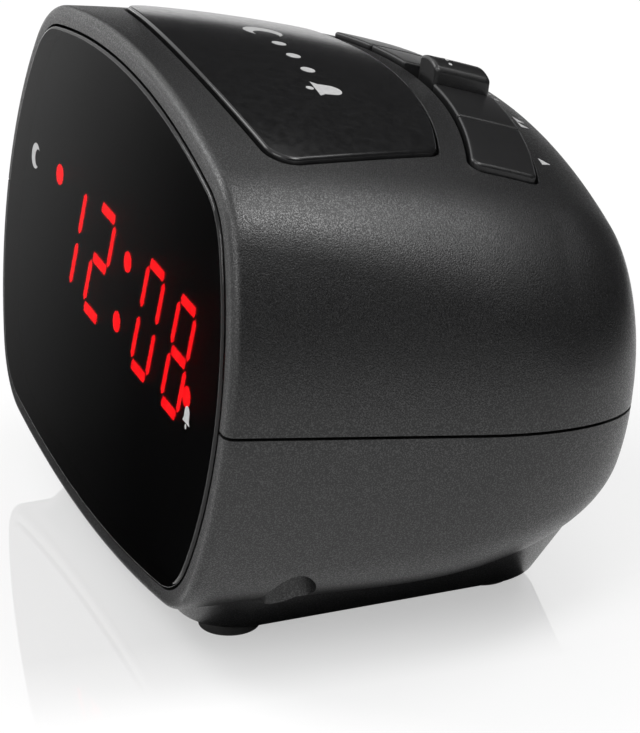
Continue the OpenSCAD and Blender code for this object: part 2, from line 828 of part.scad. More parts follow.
module ribbon_cable() {
    r = ribbon_bend;
    t = ribbon_t;
    c = [ribbon_y - t - r, ribbon_z + t + r];
    line = join([[[parts_y, ribbon_z]], arc(c, r + t, -90, 0, 8), [[ribbon_y, control_board_z]],
                 [[ribbon_y - t, control_board_z]], arc(c, r, 0, -90, 8), [[parts_y, ribbon_z + t]]]);
    color([0.55, 0.55, 0.55]) in_body() translate([-ribbon_w/2, 0, 0]) rotate([90, 0, 90])
        linear_extrude(ribbon_w) polygon(line);
}

module control_board() {
    color([0.15, 0.35, 0.2]) in_body() difference() {
        box([-control_board_w/2, control_board_y0, control_board_z],
            [control_board_w/2, control_board_y1, board_top]);
        for (p = board_posts) translate([p.x, p.y, control_board_z - over])
            cylinder(r = board_hole_r, h = board_t + 2*over);
    }
}

module control_board_screws() {
    color([0.7, 0.7, 0.7]) in_body() for (p = board_posts) translate([p.x, p.y, control_board_z]) {
        cylinder(r = board_screw_r, h = board_screw_l);
        translate([0, 0, -board_screw_head_h]) cylinder(r = board_screw_head_r, h = board_screw_head_h);
    }
}

function button_mid(x, w) = [x + w/2, strip_mid(x + w/2)];
tact_places = [button_mid(alarm_x, alarm_button_w), button_mid(time_x, time_button_w),
               button_mid(hour_x, hour_button_w), button_mid(minute_x, minute_button_w), [0, snooze_stem_y]];
switch_at = [knob_mid - knob_travel/2, strip_mid(knob_mid)];

module tact_switches() {
    color([0.3, 0.3, 0.3]) in_body() for (p = tact_places) translate([p.x, p.y, board_top]) {
        translate([-tact_w/2, -tact_w/2, 0]) cube([tact_w, tact_w, tact_h]);
        cylinder(r = tact_plunger_r, h = tact_h + tact_plunger_h);
    }
}

module slide_switch() {
    slot = knob_travel + lever_w + 2*lever_play;
    color([0.6, 0.6, 0.6]) in_body() translate([switch_at.x, switch_at.y, board_top]) difference() {
        translate([-switch_l/2, -switch_w/2, 0]) cube([switch_l, switch_w, switch_h]);
        translate([-slot/2, -lever_w/2 - lever_play, switch_h - switch_slot_d])
            cube([slot, lever_w + 2*lever_play, switch_slot_d + over]);
    }
}

// Controls: slabs that follow the roof, with softened edges and a flange under the roof
bar_u = [-1, -0.988, -0.96, -0.8, -0.55, -0.28, 0, 0.28, 0.55, 0.8, 0.96, 0.988, 1];
bar_v = [0, 0.018, 0.05, 0.11, 0.3, 0.5, 0.7, 0.89, 0.95, 0.982, 1];
key_u = [0, 0.04, 0.12, 0.35, 0.65, 0.88, 0.96, 1];
key_v = [0, 0.05, 0.15, 0.4, 0.6, 0.85, 0.95, 1];
function edge_drop(i, n) = let (m = min(i, n - 1 - i)) m == 0 ? 1 : m == 1 ? 0.3 : 0;
function soft(i, n, j, m) = cap_edge*max(edge_drop(i, n), edge_drop(j, m));
function seat_skin(p) = roof_skin(p.x, p.y) - wall - key_seat;

module key_slab(us, vs, spot, proud) {
    slab([for (j = [0:len(vs) - 1]) [for (i = [0:len(us) - 1])
        let (p = spot[j][i])
        [p.x, p.y, roof_skin(p.x, p.y) + proud - soft(i, len(us), j, len(vs)), seat_skin(p) - key_join]]]);
}

module flange_slab(spot, drop = 0) {
    slab([for (row = spot) [for (p = row)
        let (top = seat_skin(p) - drop) [p.x, p.y, top, top - key_flange_t]]]);
}

module stem(place, travel) {
    z0 = tact_top + travel + press_play;
    translate([place.x, place.y, z0]) cylinder(r = stem_r, h = seat_skin(place) - key_flange_t/2 - z0);
}

module snooze_bar() {
    color([0.05, 0.05, 0.055]) in_body() {
        key_slab(bar_u, bar_v, [for (v = bar_v) [for (u = bar_u) snooze_point(u, v, 0)]], snooze_proud);
        flange_slab([for (v = bar_v) [for (u = bar_u) snooze_point(u, v, key_flange)]]);
        stem([0, snooze_stem_y], snooze_travel);
    }
}

module button(x, w) {
    g = -control_play/2;
    key_slab(key_u, key_v,
             [for (v = key_v) [for (u = key_u) strip_point(x, x + w, u, v, g, 0)]], button_proud);
    flange_slab([for (v = key_v) [for (u = key_u) strip_point(x, x + w, u, v, g, key_flange)]]);
    stem(button_mid(x, w), button_travel);
}

module alarm_button() {
    color([0.06, 0.06, 0.065]) in_body() button(alarm_x, alarm_button_w);
}

module time_button() {
    color([0.06, 0.06, 0.065]) in_body() button(time_x, time_button_w);
}

module hour_button() {
    color([0.06, 0.06, 0.065]) in_body() button(hour_x, hour_button_w);
}

module minute_button() {
    color([0.06, 0.06, 0.065]) in_body() button(minute_x, minute_button_w);
}

module switch_knob() {
    n = len(key_u);
    color([0.06, 0.06, 0.065]) in_body() {
        slab([for (j = [0:n - 1]) [for (i = [0:n - 1])
            let (p = strip_point(knob_x, knob_x + knob_w, key_u[i], key_v[j], 0, -control_play),
                 dip = key_u[i] > 0.3 && key_u[i] < 0.7 ? 0 : knob_dip)
            [p.x, p.y, roof_skin(p.x, p.y) + knob_proud - dip - soft(i, n, j, n),
             seat_skin(p) - knob_drop - key_join]]]);
        flange_slab([for (v = key_v)
            [for (u = key_u) strip_point(knob_x, knob_x + knob_w, u, v, 0, key_flange)]], knob_drop);
    }
}

module switch_lever() {
    z0 = board_top + switch_h - switch_slot_d + lever_play;
    z1 = seat_skin([knob_mid, switch_at.y]) - knob_drop - key_flange_t - lever_play;
    color([0.85, 0.85, 0.8]) in_body()
        box([knob_mid - lever_w/2, switch_at.y - lever_w/2, z0],
            [knob_mid + lever_w/2, switch_at.y + lever_w/2, z1]);
}

// Transformer, feet, screws, door and cell
module transformer_core() {
    z0 = base_floor_t + stand_h;
    color([0.35, 0.35, 0.37]) on_base() translate([transformer_at.x, transformer_at.y, z0]) difference() {
        translate([-core_w/2, -core_t/2, 0]) cube([core_w, core_t, core_h]);
        for (side = [-1, 1]) translate([side*(core_leg + core_window.x/2), 0, core_h/2])
            cube([core_window.x, 2*core_t, core_window.y], center = true);
    }
}

module transformer_coil() {
    z0 = base_floor_t + stand_h + (core_h - core_window.y)/2 + coil_play;
    hx = core_leg + core_window.x - coil_play;
    h = core_window.y - 2*coil_play;
    color([0.75, 0.6, 0.2]) on_base() translate([transformer_at.x, transformer_at.y, z0]) difference() {
        translate([-hx, -coil_d/2, 0]) cube([2*hx, coil_d, h]);
        translate([-core_leg - coil_play, -core_t/2 - coil_play, -over])
            cube([2*core_leg + 2*coil_play, core_t + 2*coil_play, h + 2*over]);
    }
}

module rubber_feet() {
    color([0.05, 0.05, 0.05]) on_base() for (p = foot_places) translate([p.x, p.y, -foot_h])
        cylinder(r = foot_d/2, h = foot_h + foot_sink);
}

module case_screws() {
    color([0.7, 0.7, 0.7]) in_body() for (p = case_places) translate([p.x, p.y, well_top]) {
        cylinder(r = screw_r, h = screw_l);
        translate([0, 0, -screw_head_h]) cylinder(r = screw_head_r, h = screw_head_h);
    }
}

module battery_door() {
    color([0.16, 0.16, 0.17]) on_base() translate([door_at.x, door_at.y, 0]) difference() {
        union() {
            cylinder(r = door_r, h = door_flange_t - door_play);
            cylinder(r = door_hub_r, h = base_floor_t + lug_lift + lug_t);
            for (a = [0, 180]) rotate([0, 0, a]) translate([0, 0, base_floor_t + lug_lift])
                rotate_extrude(angle = lug_angle) square([lug_r, lug_t]);
        }
        box([-coin_slot_l/2, -coin_slot_w/2, -over], [coin_slot_l/2, coin_slot_w/2, coin_slot_d]);
    }
}

module backup_cell() {
    z0 = base_floor_t + lug_lift + lug_t + lug_lift;
    color([0.75, 0.75, 0.77]) on_base() translate([door_at.x, door_at.y, z0])
        cylinder(r = cell_r, h = cell_t);
}

module cell_contact() {
    z0 = base_floor_t + lug_t + 2*lug_lift + cell_t;
    z1 = base_floor_t - sink + cup_h;
    color([0.8, 0.7, 0.4]) on_base() translate([door_at.x, door_at.y, 0]) {
        translate([-contact_w/2, -cell_r/2, z0]) cube([contact_w, cell_r, contact_t]);
        translate([-contact_w/2, cell_r/2 - contact_t, z0]) cube([contact_w, contact_t, z1 - z0]);
        translate([-contact_w/2, -cell_r/2, z1 - contact_t]) cube([contact_w, cell_r, contact_t]);
    }
}

upper_housing();
lower_housing();
front_lens();
display_reflector();
lit_segments();
unlit_segments();
main_board();
clock_chip();
capacitors();
diodes();
sounder();
transformer_core();
transformer_coil();
control_board();
tact_switches();
slide_switch();
switch_lever();
control_board_screws();
ribbon_cable();
snooze_bar();
alarm_button();
time_button();
hour_button();
minute_button();
switch_knob();
rubber_feet();
case_screws();
battery_door();
backup_cell();
cell_contact();
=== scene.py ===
# %% [markdown]
# # A bedside alarm clock with a red light display
# The clock is a barrel of a case in two moulded halves on a skirted base. It has a smoked window with a
# light display behind it, a wide snooze bar and an arched row of keys on the roof. The solids that are
# loaded here hold every size and every joint. This script gives them their looks: smooth shells, rolled
# edges, finishes and a studio, in the same frame and to the same sizes.

# %% Load the frame
import math

import bmesh
import bpy
import numpy as np
from mathutils import Matrix, Vector


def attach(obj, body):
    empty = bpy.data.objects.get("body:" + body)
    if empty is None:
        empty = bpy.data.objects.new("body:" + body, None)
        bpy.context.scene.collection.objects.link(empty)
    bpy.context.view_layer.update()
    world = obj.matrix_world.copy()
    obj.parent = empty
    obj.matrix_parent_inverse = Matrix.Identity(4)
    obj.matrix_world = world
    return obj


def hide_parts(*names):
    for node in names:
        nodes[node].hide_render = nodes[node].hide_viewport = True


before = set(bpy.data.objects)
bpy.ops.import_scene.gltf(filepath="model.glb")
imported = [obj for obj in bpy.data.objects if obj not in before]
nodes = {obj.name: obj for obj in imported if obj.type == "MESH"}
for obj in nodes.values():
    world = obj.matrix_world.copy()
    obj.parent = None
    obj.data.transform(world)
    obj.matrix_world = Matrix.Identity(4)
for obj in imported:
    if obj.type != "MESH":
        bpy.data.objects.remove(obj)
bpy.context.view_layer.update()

# %% [markdown]
# ## The camera
# The picture was taken from a long way off with a long lens, so parallel edges stay nearly parallel. The
# camera is placed first, because every later choice of light and finish is judged through it. The place
# comes from matching the window's outline, the seam and the silhouette to the picture.

# %% Camera
IMAGE_H = 733
FOCAL_PIXELS = 5270.9
SENSOR = 36.0
VIEW_AZIMUTH = 70.838
VIEW_ELEVATION = 22.646
CAMERA_AT = Vector((0.5947, -0.2059, 0.2847))


def direction(azimuth, elevation):
    """Unit vector from the object towards a viewer at that azimuth and elevation, in degrees."""
    a = math.radians(azimuth)
    e = math.radians(elevation)
    return Vector((math.sin(a) * math.cos(e), -math.cos(a) * math.cos(e), math.sin(e)))


def stand_at(obj, place, way):
    """Puts a camera or a lamp at its place, looking back along the way that leads there."""
    obj.location = place
    obj.rotation_mode = "QUATERNION"
    obj.rotation_quaternion = (-way).to_track_quat("-Z", "Y")
    bpy.context.scene.collection.objects.link(obj)


def make_camera():
    data = bpy.data.cameras.new("studio_camera")
    data.sensor_width = SENSOR
    data.lens = FOCAL_PIXELS * SENSOR / IMAGE_H
    data.clip_start = 0.05
    camera = bpy.data.objects.new("studio_camera", data)
    stand_at(camera, CAMERA_AT, direction(VIEW_AZIMUTH, VIEW_ELEVATION))
    bpy.context.scene.camera = camera
    return camera


camera = make_camera()
bpy.context.scene.view_settings.view_transform = "Standard"
print("lens:", round(camera.data.lens, 1), "mm")

# %% [markdown]
# ## Sizes
# The shells repeat the rules of the solids with many more steps, so the sizes are written in millimetres as
# they are there. The body frame starts at the rim's front on the seam: x to the right, y rearward and z up
# the face. It leans back on the base, and one matrix stands it there. A last one brings it into metres.

# %% Sizes of the case
MM = 0.001
LEAN = 7.2
SEAM_HEIGHT = 35
FOOT_H = 1
WINDOW_W = 89
WINDOW_ABOVE = 30
WINDOW_BELOW = 28
WINDOW_SIDE_R = 42
WINDOW_TOP_R = 136
WINDOW_BOTTOM_R = 212
WINDOW_CORNER_R = 11
RIM_W = 2.75
RIM_ROUND = 1.3
LENS_GROOVE = 0.3
LENS_PROUD = 0.4
LENS_BEVEL = 0.4
LENS_T = 1.8
LIP_T = 1.6
FLANGE_D = 1
FLANGE_PLAY = 0.4
BODY_DEPTH = 57.4
ROOF_R = 208
SHOULDER_GAIN = 0.19
SHOULDER_LIMIT = 0.8
BELLY_RISE = 0.107
WALL = 1.6
SEAM_HALF = 0.2
REAR_W = 69
REAR_ABOVE = 16.5
REAR_BELOW = 11.5
SIDE_TURN = 24
ROOF_TURN = 11
BELLY_TURN = 32
ROOF_POWER = 2.8
PLAIN_POWER = 2
HALF_W = WINDOW_W / 2 + RIM_W
ROOF_TOP = WINDOW_ABOVE + RIM_W
BELLY_LOW = WINDOW_BELOW + RIM_W

lean = math.radians(LEAN)
y_front = -LENS_PROUD * math.cos(lean) - (WINDOW_BELOW - LENS_BEVEL) * math.sin(lean)
y_rear = BODY_DEPTH * math.cos(lean) + REAR_ABOVE * math.sin(lean)
Y_SHIFT = -(y_front + y_rear) / 2
IN_BODY = Matrix.Translation((0, Y_SHIFT, SEAM_HEIGHT)) @ Matrix.Rotation(-lean, 4, "X")
ON_BASE = Matrix.Translation((0, Y_SHIFT, FOOT_H))
TO_METRES = Matrix.Scale(MM, 4)
print("the rim's foot stands", round(Y_SHIFT, 2), "mm from the middle")

# %% [markdown]
# ## Outline of the window
# The window is a television shape: four bowed sides joined by tangent arcs. A quarter of it is reckoned from
# its arcs. The left side mirrors the right, and the lower half has sizes of its own.

# %% Outline arcs
SIDE_STEPS = 18
CORNER_STEPS = 32
EDGE_STEPS = 30


def arc(centre, radius, start, end, steps):
    turn = np.radians(np.linspace(start, end, steps + 1))
    return np.array(centre) + radius * np.column_stack([np.cos(turn), np.sin(turn)])


def meet(c1, r1, c2, r2):
    """Where two circles cross, on the side of +x."""
    gap = c2 - c1
    length = np.linalg.norm(gap)
    along = (length**2 + r1**2 - r2**2) / (2 * length)
    across = math.sqrt(r1**2 - along**2)
    way = gap / length
    return c1 + along * way + across * np.array([-way[1], way[0]])


def heading(v):
    return math.degrees(math.atan2(v[1], v[0]))


def quarter(half_w, height, side_r, top_r, corner_r, z0):
    """A quarter of the outline, from the side at height z0 to the middle of the top."""
    side_at = np.array([half_w - side_r, 0.0])
    top_at = np.array([0.0, height - top_r])
    corner_at = meet(side_at, side_r - corner_r, top_at, top_r - corner_r)
    start = math.degrees(math.asin(z0 / side_r))
    side_end = heading(corner_at - side_at)
    top_start = heading(corner_at - top_at)
    side = arc(side_at, side_r, start, side_end, SIDE_STEPS)
    corner = arc(corner_at, corner_r, side_end, top_start, CORNER_STEPS)[1:]
    return np.vstack([side, corner, arc(top_at, top_r, top_start, 90, EDGE_STEPS)[1:]])


print("points in a quarter:", SIDE_STEPS + CORNER_STEPS + EDGE_STEPS + 1)

# %% [markdown]
# ## Sections of the case
# Each section of the case is that outline, grown by the rim, with a roof that falls and a belly that rises to
# the rear. Close to the rear all walls turn in, each over its own depth. Box modelling with subdivision would
# only come near it, so the sections are worked out one by one, to be lofted.

# %% Section rules


def roof_at(y):
    return ROOF_TOP - ROOF_R + np.sqrt(ROOF_R**2 - y**2)


def belly_at(y):
    return BELLY_LOW - BELLY_RISE * y


def turn_in(y, inset, depth, end, full, power):
    """What is left of the full section at depth y, as a share, where a wall turns in to the rear."""
    keep = (end - inset) / (full - inset)
    share = np.clip((y - BODY_DEPTH + depth) / (depth - inset), 0, 1)
    return keep + (1 - keep) * (1 - share**power) ** (1 / power)


def side_scale(y, inset):
    return turn_in(y, inset, SIDE_TURN, REAR_W / 2, HALF_W, PLAIN_POWER)


def roof_scale(y, inset):
    return turn_in(y, inset, ROOF_TURN, REAR_ABOVE, roof_at(BODY_DEPTH), ROOF_POWER)


def belly_scale(y, inset):
    return turn_in(y, inset, BELLY_TURN, REAR_BELOW, belly_at(BODY_DEPTH), PLAIN_POWER)


def half_section(y, inset, up):
    """Half a section at depth y, from the right seam edge over to the left one."""
    height = roof_at(y) if up else belly_at(y)
    top_r = (WINDOW_TOP_R if up else WINDOW_BOTTOM_R) + RIM_W
    corner_r = WINDOW_CORNER_R + RIM_W
    if up:
        corner_r = min(corner_r + SHOULDER_GAIN * y, SHOULDER_LIMIT * height)
    side_r = WINDOW_SIDE_R + RIM_W
    radii = (side_r - inset, top_r - inset, corner_r - inset)
    outline = quarter(HALF_W - inset, height - inset, *radii, SEAM_HALF)
    tall = roof_scale(y, inset) if up else belly_scale(y, inset)
    x = outline[:, 0] * side_scale(y, inset)
    z = (SEAM_HALF + (outline[:, 1] - SEAM_HALF) * tall) * (1 if up else -1)
    right = np.column_stack([x, np.full(len(x), y), z])
    left = right[::-1][1:] * (-1, 1, 1)
    return np.vstack([right, left])


def whole_section(y, inset):
    return np.vstack([half_section(y, inset, True), half_section(y, inset, False)[::-1]])


def roof_skin(x, y):
    """Height of the roof over a point of the plan."""
    r = WINDOW_TOP_R + RIM_W
    across = x / side_scale(y, 0)
    return SEAM_HALF + (roof_at(y) - r + np.sqrt(r**2 - across**2) - SEAM_HALF) * roof_scale(y, 0)


print("points in a section:", len(whole_section(10.0, 0)))

# %% [markdown]
# ## Lofts
# A loft is a grid of points with its ends closed. Turned rods, bores and prisms are lofts too, between rings
# of one kind. All of this work is done in millimetres, in the body's frame or in the base's.

# %% Lofts
ROUND_STEPS = 8
QUARTER_TURN = np.radians(np.linspace(0, 90, ROUND_STEPS + 1))


def mesh_object(name, points, faces):
    mesh = bpy.data.meshes.new(name)
    mesh.from_pydata([tuple(p) for p in points], [], faces)
    work = bmesh.new()
    work.from_mesh(mesh)
    bmesh.ops.recalc_face_normals(work, faces=work.faces)
    work.to_mesh(mesh)
    work.free()
    obj = bpy.data.objects.new(name, mesh)
    bpy.context.scene.collection.objects.link(obj)
    return obj


def loft(name, rings, place, closed=True):
    """Solid through rings of equal length. Open rings close along a flat seam."""
    rings = np.array(rings, float)
    count, n = rings.shape[:2]
    last = (count - 1) * n
    spans = n if closed else n - 1
    faces = [
        (j * n + i, j * n + (i + 1) % n, (j + 1) * n + (i + 1) % n, (j + 1) * n + i)
        for j in range(count - 1)
        for i in range(spans)
    ]
    faces.append(tuple(range(n)))
    faces.append(tuple(last + i for i in range(n)))
    if not closed:
        starts = [j * n for j in range(count)]
        faces.append(tuple(starts + [start + n - 1 for start in reversed(starts)]))
    points = rings.reshape(-1, 3) @ np.array(place.to_3x3()).T + np.array(place.translation)
    return mesh_object(name, points, faces)


def rod(x, y, profile, place, steps=64):
    """Turned solid on an upright axis, from a profile of (radius, height)."""
    ring = arc((0, 0), 1, 0, 360, steps)[:-1]
    rings = [np.column_stack([x + r * ring[:, 0], y + r * ring[:, 1], np.full(steps, z)]) for r, z in profile]
    return loft("rod", rings, place)


def bore(x, y, radius, low, high, place):
    return rod(x, y, [(radius, low), (radius, high)], place)


def prism(outlines, heights, place):
    """Solid between outlines of the plan at their heights."""
    rings = [np.column_stack([plan, np.full(len(plan), z)]) for plan, z in zip(outlines, heights)]
    return loft("prism", rings, place)


def rectangle(x0, x1, y0, y1, grow=0.0):
    left, right = x0 - grow, x1 + grow
    near, far = y0 - grow, y1 + grow
    return np.array([(left, near), (right, near), (right, far), (left, far)])


def quarter_round(radius):
    """Steps round a rolled edge: how far each is drawn back from the front face and from the side face."""
    return [(radius * (1 - math.sin(a)), radius * (1 - math.cos(a))) for a in QUARTER_TURN]


print("steps round a rolled edge:", ROUND_STEPS)

# %% [markdown]
# ## Cuts and finish
# Openings are cut with Boolean modifiers, whose Manifold solver is quick and exact on closed meshes, so every
# tool here is a closed mesh too and runs a little past what it cuts. A finished piece gets smooth faces
# between sharp edges, and is brought into metres with its place in its mesh.

# %% Cuts and finish
PAST = 1
SHARP_ANGLE = math.radians(32)


def settle(obj):
    """Puts the modifiers' result into the mesh."""
    graph = bpy.context.evaluated_depsgraph_get()
    made = bpy.data.meshes.new_from_object(obj.evaluated_get(graph), depsgraph=graph)
    obj.modifiers.clear()
    obj.data = made
    made.name = obj.name
    return obj


def combine(target, operation, *tools):
    for tool in tools:
        step = target.modifiers.new(operation.lower(), "BOOLEAN")
        step.operation = operation
        step.solver = "MANIFOLD"
        step.object = tool
    settle(target)
    for tool in tools:
        bpy.data.objects.remove(tool)
    return target


def finish_mesh(obj):
    """Brings a piece into metres and shades it."""
    obj.data.transform(TO_METRES)
    obj.data.shade_smooth()
    obj.data.set_sharp_from_angle(angle=SHARP_ANGLE)
    weigh = obj.modifiers.new("weighted normals", "WEIGHTED_NORMAL")
    weigh.keep_sharp = True
    settle(obj)
    print(obj.name, len(obj.data.polygons), "faces")
    return obj


# %% [markdown]
# ## Outlines in plan
# The snooze bar and the keys are flat mouldings that follow the roof, so each starts as an outline in plan.
# Its corners are turned with arcs. Moving every point along its own normal gives the gap round a key and the
# rolled edge of its top.

# %% Outline helpers
ROOM_SHARE = 1.2
ROOM_LEAST = 0.05


def unit(v):
    return v / np.linalg.norm(v)


def rounded(edges, radii, steps=10):
    """Edges that run round an outline, joined by arcs. Edge points close to an arc are left out."""

    def clear(distance, reach):
        return distance > reach * ROOM_SHARE + ROOM_LEAST

    corners = []
    for k, edge in enumerate(edges):
        way_in = unit(edges[k - 1][-1] - edges[k - 1][-2])
        way_out = unit(edge[1] - edge[0])
        turn = math.acos(float(np.clip(way_in @ way_out, -1, 1)))
        corners.append((way_in, turn, radii[k] * math.tan(turn / 2)))
    points = []
    for k, edge in enumerate(edges):
        way_in, turn, reach = corners[k]
        centre = edge[0] - way_in * reach + radii[k] * np.array([-way_in[1], way_in[0]])
        start = heading(edge[0] - way_in * reach - centre)
        points.append(arc(centre, radii[k], start, start + math.degrees(turn), steps))
        from_start = np.linalg.norm(edge - edge[0], axis=1)
        from_end = np.linalg.norm(edge - edge[-1], axis=1)
        beyond = corners[(k + 1) % len(edges)][-1]
        points.append(edge[clear(from_start, reach) & clear(from_end, beyond)])
    return np.vstack(points)


def grown(outline, reach):
    """The outline moved outwards along its normals."""
    along = np.roll(outline, -1, axis=0) - np.roll(outline, 1, axis=0)
    normal = np.column_stack([along[:, 1], -along[:, 0]])
    return outline + reach * normal / np.linalg.norm(normal, axis=1)[:, None]


# %% [markdown]
# ## Bar and strip
# The snooze bar is a bowed trapezium whose rear edge is an arc. The strip of keys lies behind it between two
# more arcs about the same middle, and is shared out among four keys and the bay of the switch.

# %% Bar and strip
SNOOZE_FRONT_W = 61.8
SNOOZE_REAR_W = 48.6
SNOOZE_D = 30
SNOOZE_SET_BACK = 5.6
SNOOZE_FRONT_R = 170
SNOOZE_BOW = 0.8
SNOOZE_PROUD = 0.6
SNOOZE_CORNERS = (3.4, 3.4, 3.0, 3.0)
CONTROL_ARC_R = 80
CONTROL_GAP = 4.3
CONTROL_D = 8.6
CONTROL_PLAY = 0.35
ARC_CENTRE = SNOOZE_SET_BACK + SNOOZE_D - CONTROL_ARC_R
STRIP_R1 = CONTROL_ARC_R + CONTROL_GAP
STRIP_R2 = STRIP_R1 + CONTROL_D
KEY_WIDTHS = {"alarm": 9, "time": 9, "bay": 9.1, "hour": 11.7, "minute": 14.2}
STRIP_W = sum(KEY_WIDTHS.values())
EDGE_POINTS = 48
STRIP_CORNER = 1.5


def snooze_outline():
    v = np.linspace(0, 1, EDGE_POINTS)
    half = (SNOOZE_FRONT_W + (SNOOZE_REAR_W - SNOOZE_FRONT_W) * v) / 2 + 4 * SNOOZE_BOW * v * (1 - v)

    def front_y(x):
        return SNOOZE_SET_BACK + SNOOZE_FRONT_R - np.sqrt(SNOOZE_FRONT_R**2 - x**2)

    def rear_y(x):
        return ARC_CENTRE + np.sqrt(CONTROL_ARC_R**2 - x**2)

    x_front = np.linspace(-half[0], half[0], EDGE_POINTS)
    x_rear = np.linspace(half[-1], -half[-1], EDGE_POINTS)
    right = np.column_stack([half, front_y(half) + (rear_y(half) - front_y(half)) * v])
    front = np.column_stack([x_front, front_y(x_front)])
    rear = np.column_stack([x_rear, rear_y(x_rear)])
    return rounded([front, right, rear, right[::-1] * (-1, 1)], SNOOZE_CORNERS)


def strip_outline(x0, x1, radii, shrink=0.0):
    """Outline in the arched strip between x0 and x1. Radii run from the left front corner."""
    x = np.linspace(x0, x1, EDGE_POINTS)
    front = np.column_stack([x, ARC_CENTRE + np.sqrt((STRIP_R1 + shrink) ** 2 - x**2)])
    rear = np.column_stack([x, ARC_CENTRE + np.sqrt((STRIP_R2 - shrink) ** 2 - x**2)])[::-1]
    right = np.linspace(front[-1], rear[0], EDGE_POINTS)
    left = np.linspace(rear[-1], front[0], EDGE_POINTS)
    return rounded([front, right, rear, left], radii)


SNOOZE = snooze_outline()
STRIP = strip_outline(-STRIP_W / 2, STRIP_W / 2, [STRIP_CORNER] * 4)
print("snooze outline:", len(SNOOZE), "points; strip:", len(STRIP), "points")

# %% [markdown]
# ## Skin and cavity
# Both halves of the case are mouldings with an even wall. A loft runs over the skin from the rear, round the
# rim, over the lip that holds the window and back along the cavity, so skin and cavity are one closed mesh.
# Solidify would give the wall, but not the lip. The core is the case down to the middle of its wall, and
# trims what stands inside.

# %% Shell sections
SKIN_STEPS = 96
CAVITY_STEPS = 20
LIP_INSET = RIM_W - LENS_GROOVE


def rise(steps):
    """Numbers from 0 to 1 that crowd towards 1, where the walls turn fastest."""
    return np.sin(np.radians(90 * np.arange(steps + 1) / steps))


def shell_sections(up):
    skin = [half_section(RIM_ROUND + (BODY_DEPTH - RIM_ROUND) * s, 0, up) for s in rise(SKIN_STEPS)[:0:-1]]
    rim = [half_section(y, inset, up) for y, inset in quarter_round(RIM_ROUND)]
    turns = [(0, LIP_INSET), (LIP_T, LIP_INSET), (LIP_T, WALL)]
    lip = [half_section(y, inset, up) for y, inset in turns]
    depth = BODY_DEPTH - WALL - LIP_T
    cavity = [half_section(LIP_T + depth * s, WALL, up) for s in rise(CAVITY_STEPS)[1:]]
    return skin + rim + lip + cavity


def core_solid():
    inset = WALL / 2
    depth = BODY_DEPTH - inset - RIM_ROUND
    return loft("core", [whole_section(RIM_ROUND + depth * s, inset) for s in rise(CAVITY_STEPS)], IN_BODY)


print("sections of a half:", len(shell_sections(True)))

# %% [markdown]
# ## Posts under the roof
# The screws of the case and of the key board go into posts that hang from the roof, and a rib steadies the
# display. Each widens towards the roof, as a moulding has to if it is to leave its mould. They are drawn up
# past the roof, and the core then cuts them off inside the wall.

# %% Roof posts
CASE_SCREWS = [(39.2, 13.7), (-39.2, 13.7), (0, 52.9)]
BOARD_SCREWS = [(32.5, 24), (-32.5, 24), (31, 43), (-31, 43)]
POST_R = 2.6
BOARD_POST_R = 2.4
POST_DRAFT = 0.3
BOARD_TOP = 18
STOP_FRONT = 2.8
STOP_T = 1.4
STOP_W = 24
STOP_LOW = 13.5


def post(x, y, radius, low):
    return rod(x, y, [(radius, low), (radius + POST_DRAFT, ROOF_TOP)], IN_BODY)


def roof_posts():
    posts = [post(x, y, POST_R, SEAM_HALF) for x, y in CASE_SCREWS]
    posts += [post(x, y, BOARD_POST_R, BOARD_TOP) for x, y in BOARD_SCREWS]
    rib = rectangle(-STOP_W / 2, STOP_W / 2, STOP_FRONT, STOP_FRONT + STOP_T)
    wider = rib * (1 + 2 * POST_DRAFT / STOP_W, 1)
    posts.append(prism([rib, wider], [STOP_LOW, ROOF_TOP], IN_BODY))
    combine(posts[0], "UNION", *posts[1:])
    return combine(posts[0], "INTERSECT", core_solid())


hanging = roof_posts()
print("posts under the roof:", len(CASE_SCREWS) + len(BOARD_SCREWS))

# %% [markdown]
# ## Upper half of the case
# The real half is one moulding: the roof, the shoulders, half of the rim and a cavity behind them. Two tools
# cut its openings, for the snooze bar and for the strip of keys. Their tops flare, which leaves a small
# rolled edge on the roof. A Bevel modifier would have to find that edge among the roof's own.

# %% Upper shell
OPENING_ROUND = 0.22
OPENING_TURNS = (0, 20, 40, 60, 75)
OPENING_LOW = 18
OPENING_HIGH = 3
PILOT_R = 1.4
PILOT_TOP = 9
BOARD_PILOT_R = 1.05
BOARD_PILOT_TOP = 23.4


def on_roof(outline, lift):
    z = roof_skin(outline[:, 0], outline[:, 1]) + lift
    return np.column_stack([outline, z])


def opening_tool(name, outline):
    """Cutter for an opening in the roof, with a flared top that rolls the edge."""
    hole = grown(outline, CONTROL_PLAY)
    rings = [np.column_stack([hole, np.full(len(hole), OPENING_LOW)])]
    for a in np.radians(OPENING_TURNS):
        flare = grown(hole, OPENING_ROUND * (1 - math.cos(a)))
        rings.append(on_roof(flare, -OPENING_ROUND * (1 - math.sin(a))))
    rings.append(on_roof(grown(hole, OPENING_ROUND), OPENING_HIGH))
    return loft(name, rings, IN_BODY)


upper_shell = loft("upper_shell", shell_sections(True), IN_BODY, closed=False)
combine(upper_shell, "UNION", hanging)
cutters = [opening_tool("snooze_cut", SNOOZE), opening_tool("strip_cut", STRIP)]
cutters += [bore(x, y, PILOT_R, 0, PILOT_TOP, IN_BODY) for x, y in CASE_SCREWS]
cutters += [bore(x, y, BOARD_PILOT_R, 0, BOARD_PILOT_TOP, IN_BODY) for x, y in BOARD_SCREWS]
combine(upper_shell, "DIFFERENCE", *cutters)
finish_mesh(upper_shell)

# %% [markdown]
# ## Base skirt
# Below the seam the same sections run down to the belly, and a skirt flares out of the base to meet it. Its
# plan is a trapezium with round corners that grows with the height, so it is a loft again. A box behind the
# rim and below the seam trims it to the room that it may fill.

